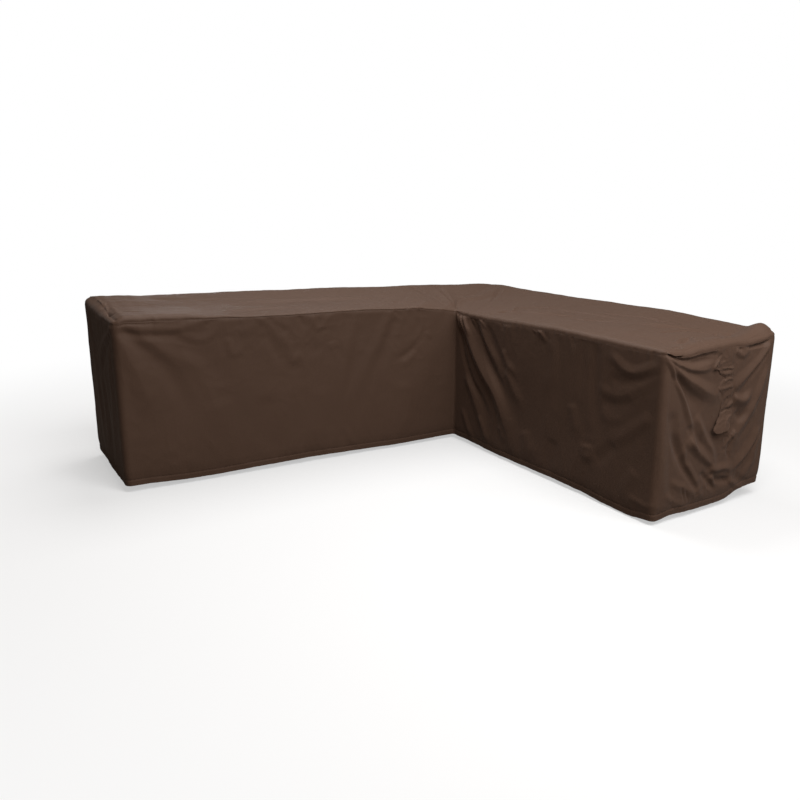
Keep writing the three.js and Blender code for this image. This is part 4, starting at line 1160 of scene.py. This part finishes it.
def group_node(tree, group, vector, values):
    """One of the pattern groups, laid on some coordinates."""
    node = tree.nodes.new("ShaderNodeGroup")
    node.node_tree = group
    tree.links.new(vector, node.inputs["Vector"])
    for label, value in values.items():
        node.inputs[label].default_value = value
    return node


def plain_shader(tree, kind, colour, strength=1.0):
    node = tree.nodes.new(kind)
    node.inputs["Color"].default_value = colour
    if "Strength" in node.inputs:
        node.inputs["Strength"].default_value = strength
    return node.outputs[0]


def mix_shaders(tree, share, first, second):
    node = tree.nodes.new("ShaderNodeMixShader")
    for socket, source in zip(node.inputs, (share, first, second)):
        tree.links.new(source, socket)
    return node.outputs[0]


def show_to_camera(tree, seen, otherwise, output_kind):
    """Put out one shader to the camera, and another one to all other rays."""
    rays = tree.nodes.new("ShaderNodeLightPath")
    surface = mix_shaders(tree, rays.outputs["Is Camera Ray"], otherwise, seen)
    tree.links.new(surface, tree.nodes.new(output_kind).inputs["Surface"])


def weave_group():
    """Plain weave: warp and weft threads that pass over each other, as a height from 0 to 1."""
    group, entry, out = node_group(
        "plain_weave",
        [("Vector", "NodeSocketVector", None), ("Thread pitch", "NodeSocketFloat", 0.0008)],
        [("Height", "NodeSocketFloat")],
    )
    split = group.nodes.new("ShaderNodeSeparateXYZ")
    group.links.new(entry.outputs["Vector"], split.inputs[0])
    turn = math_node(group, "DIVIDE", math.pi, entry.outputs["Thread pitch"])
    warp = math_node(group, "SINE", math_node(group, "MULTIPLY", split.outputs[0], turn))
    weft = math_node(group, "SINE", math_node(group, "MULTIPLY", split.outputs[1], turn))
    crossing = math_node(group, "MULTIPLY", warp, weft)
    warp_crown = math_node(group, "ABSOLUTE", warp)
    weft_crown = math_node(group, "ABSOLUTE", weft)
    over = math_node(group, "ADD", math_node(group, "MULTIPLY", crossing, 0.5), 0.5)
    under = math_node(group, "SUBTRACT", 1.0, over)
    height = math_node(
        group, "ADD", math_node(group, "MULTIPLY", warp_crown, over),
        math_node(group, "MULTIPLY", weft_crown, under),
    )
    group.links.new(height, out.inputs["Height"])
    return group


def blotch_group():
    """Slow uneven tone of a coated cloth, and a finer grain, each from 0 to 1."""
    group, entry, out = node_group(
        "uneven_tone",
        [("Vector", "NodeSocketVector", None), ("Size", "NodeSocketFloat", 3.0)],
        [("Slow", "NodeSocketFloat"), ("Fine", "NodeSocketFloat")],
    )
    for label, factor, detail in (("Slow", 1.0, 3.0), ("Fine", 60.0, 4.0)):
        scale = math_node(group, "MULTIPLY", entry.outputs["Size"], factor)
        texture = noise_node(group, entry.outputs["Vector"], scale, detail)
        group.links.new(texture, out.inputs[label])
    return group


def crease_group():
    """Short creases in patches: thin lines where a bent noise crosses its middle, from 0 to 1."""
    group, entry, out = node_group(
        "crease_lines",
        [("Vector", "NodeSocketVector", None), ("Size", "NodeSocketFloat", 9.0)],
        [("Height", "NodeSocketFloat")],
    )
    heights = []
    stretched = group.nodes.new("ShaderNodeVectorMath")
    stretched.operation = "MULTIPLY"
    stretched.inputs[1].default_value = (1.0, 1.0, 0.3)
    group.links.new(entry.outputs["Vector"], stretched.inputs[0])
    for factor, narrowness in ((1.0, 7.0), (2.7, 6.0)):
        scale = math_node(group, "MULTIPLY", entry.outputs["Size"], factor)
        texture = noise_node(group, stretched.outputs["Vector"], scale, 0.0)
        middle = math_node(group, "ABSOLUTE", math_node(group, "SUBTRACT", texture, 0.5))
        line = math_node(group, "SUBTRACT", 1.0, math_node(group, "MULTIPLY", middle, narrowness))
        heights.append(math_node(group, "MULTIPLY", math_node(group, "MAXIMUM", line, 0.0), 1.0 / factor))
    patches = noise_node(group, entry.outputs["Vector"], 4.0, 1.0)
    share = math_node(group, "MULTIPLY", math_node(group, "SUBTRACT", patches, 0.42), 6.0)
    share = math_node(group, "MINIMUM", math_node(group, "MAXIMUM", share, 0.0), 1.0)
    total = math_node(group, "MULTIPLY", math_node(group, "ADD", heights[0], heights[1]), share)
    group.links.new(total, out.inputs["Height"])
    return group


weave = weave_group()
uneven = blotch_group()
crease_lines = crease_group()

# Two tones of each colour, sizes of the patterns in metres, and the roughness and sheen of the coating
# The dark cloth tone also serves as painted shade in the hollows of the weave
CLOTH_DARK = (0.068, 0.0368, 0.0234, 1)
CLOTH_LIGHT = (0.086, 0.0470, 0.0305, 1)
THREAD_DARK = (0.075, 0.041, 0.027, 1)
THREAD_LIGHT = (0.115, 0.064, 0.042, 1)
WEAVE_PITCH = 0.0009
WEAVE_DEPTH, CRINKLE_DEPTH, WRINKLE_DEPTH = 0.00018, 0.002, 0.003
cloth_finish = {
    "Specular IOR Level": 0.28,
    "Specular Tint": (1.0, 0.93, 0.88, 1),
    "Sheen Weight": 0.035,
    "Sheen Roughness": 0.5,
}


def new_material(name):
    material = bpy.data.materials.new(name)
    material.use_nodes = True
    return material, material.node_tree


def cloth_material():
    """Coated brown cloth: uneven tone, a plain weave laid in its flat plan with painted shade in its hollows,
    and small creases.
    """
    material, tree = new_material("coated_brown_weave")
    shader = tree.nodes["Principled BSDF"]
    flat = tree.nodes.new("ShaderNodeUVMap")
    flat.uv_map = "cloth_flat"
    solid = tree.nodes.new("ShaderNodeTexCoord").outputs["Object"]
    tone = group_node(tree, uneven, solid, {"Size": 2.6})
    threads = group_node(tree, weave, flat.outputs["UV"], {"Thread pitch": WEAVE_PITCH})
    lines = group_node(tree, crease_lines, solid, {})
    # Colour mixed from the slow uneven tone and the weave's height: the hollows between the threads are
    # painted darker, as painted shade
    share = math_node(tree, "ADD", math_node(tree, "MULTIPLY", tone.outputs["Slow"], 0.55),
                      math_node(tree, "MULTIPLY", threads.outputs["Height"], 0.3))
    tree.links.new(colour_mix(tree, share, CLOTH_DARK, CLOTH_LIGHT), shader.inputs["Base Color"])
    rough = math_node(tree, "ADD", math_node(tree, "MULTIPLY", tone.outputs["Fine"], 0.12), 0.58)
    tree.links.new(rough, shader.inputs["Roughness"])
    for label, value in cloth_finish.items():
        shader.inputs[label].default_value = value
    woven = bump_node(tree, threads.outputs["Height"], 0.35, WEAVE_DEPTH)
    crinkled = bump_node(tree, tone.outputs["Fine"], 0.35, CRINKLE_DEPTH, woven)
    wrinkled = bump_node(tree, lines.outputs["Height"], 0.4, WRINKLE_DEPTH, crinkled)
    tree.links.new(wrinkled, shader.inputs["Normal"])
    return material


def thread_material():
    """Brown sewing thread, a little lighter than the cloth."""
    material, tree = new_material("brown_thread")
    shader = tree.nodes["Principled BSDF"]
    solid = tree.nodes.new("ShaderNodeTexCoord").outputs["Object"]
    strands = noise_node(tree, solid, 900.0, 2.0)
    tree.links.new(colour_mix(tree, strands, THREAD_DARK, THREAD_LIGHT), shader.inputs["Base Color"])
    shader.inputs["Roughness"].default_value = 0.55
    return material


def dress(pieces, material):
    for piece in pieces:
        piece.data.materials.append(material)
        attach(piece, "root")


sheets = (top, inner_right, outer_right, outer_left, inner_left, flap)
stitch_rows = (inner_right_stitches, outer_right_stitches, outer_left_stitches, inner_left_stitches,
               flap_stitches)
dress(sheets, cloth_material())
dress(stitch_rows, thread_material())
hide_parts("top_panel")
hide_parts("skirt_inner_right")
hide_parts("skirt_outer_right")
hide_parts("skirt_outer_left")
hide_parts("skirt_inner_left")
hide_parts("vent_flap")

# Camera at the height and angle of the photograph: place, turns in degrees, lens
CAMERA_PLACE = (-2.2327, -3.5213, 1.5514)
CAMERA_TURN, CAMERA_DOWN, CAMERA_ROLL = -31.55, 15.41, 0.22
CAMERA_LENS = 37.44


def place_camera():
    data = bpy.data.cameras.new("camera")
    data.sensor_width = 36.0
    data.lens = CAMERA_LENS
    camera = bpy.data.objects.new("camera", data)
    bpy.context.scene.collection.objects.link(camera)
    turn = Matrix.Rotation(math.radians(CAMERA_TURN), 4, "Z")
    tilt = Matrix.Rotation(math.radians(90 - CAMERA_DOWN), 4, "X")
    roll = Matrix.Rotation(math.radians(CAMERA_ROLL), 4, "Z")
    camera.matrix_world = Matrix.Translation(CAMERA_PLACE) @ turn @ tilt @ roll
    bpy.context.scene.camera = camera


place_camera()

# The floor lies a little under the hem, and turns from half shaded to pure white between two distances
# from its middle
FLOOR_SIZE = 60
FLOOR_HEIGHT = -0.010
floor_fade = {"From Min": 1.6, "From Max": 4.2, "To Min": 0.5, "To Max": 1.0}


def make_floor():
    """Pale floor, white where the camera sees it and darker for the light that it throws back."""
    bpy.ops.mesh.primitive_plane_add(size=FLOOR_SIZE, location=(0, 0, FLOOR_HEIGHT))
    plane = bpy.context.active_object
    plane.name = "pale_floor"
    material, tree = new_material("pale_floor")
    tree.nodes.clear()
    place = tree.nodes.new("ShaderNodeTexCoord")
    distance = tree.nodes.new("ShaderNodeVectorMath")
    distance.operation = "LENGTH"
    tree.links.new(place.outputs["Object"], distance.inputs[0])
    fade = tree.nodes.new("ShaderNodeMapRange")
    fade.interpolation_type = "SMOOTHSTEP"
    for label, value in floor_fade.items():
        fade.inputs[label].default_value = value
    tree.links.new(distance.outputs["Value"], fade.inputs["Value"])
    lit = plain_shader(tree, "ShaderNodeBsdfDiffuse", (0.80, 0.80, 0.80, 1))
    glow = plain_shader(tree, "ShaderNodeEmission", (1, 1, 1, 1))
    thrown = plain_shader(tree, "ShaderNodeBsdfDiffuse", (0.18, 0.165, 0.15, 1))
    seen = mix_shaders(tree, fade.outputs["Result"], lit, glow)
    show_to_camera(tree, seen, thrown, "ShaderNodeOutputMaterial")
    plane.data.materials.append(material)
    return plane


floor = make_floor()


def make_world():
    """Surroundings, white where the camera sees them, dim and warm for the light that they give."""
    world = bpy.data.worlds.new("studio")
    bpy.context.scene.world = world
    world.use_nodes = True
    tree = world.node_tree
    tree.nodes.clear()
    white = plain_shader(tree, "ShaderNodeBackground", (1, 1, 1, 1))
    dim = plain_shader(tree, "ShaderNodeBackground", (1, 0.84, 0.70, 1), 0.145)
    show_to_camera(tree, white, dim, "ShaderNodeOutputWorld")


bpy.context.scene.view_settings.view_transform = "Standard"
make_world()


def area_light(name, place, target, size, power):
    """Square soft light at a place, turned to a target."""
    data = bpy.data.lights.new(name, "AREA")
    data.shape = "SQUARE"
    data.size = size
    data.energy = power
    light = bpy.data.objects.new(name, data)
    bpy.context.scene.collection.objects.link(light)
    light.location = place
    light.rotation_euler = (Vector(target) - Vector(place)).to_track_quat("-Z", "Y").to_euler()


area_light("overhead", (0.35, 1.5, 4.1), (0.3, 0.4, 0.6), 2.2, 98)
area_light("front_low", (1.05, -2.9, 2.3), (0.9, -1.1, 0.4), 1.8, 43)
area_light("front_high", (-0.55, -2.8, 4.9), (-0.4, 0.4, 0.5), 2.4, 205)
area_light("back_low", (0.3, 4.4, 0.75), (0.0, 1.1, 0.45), 1.1, 26)
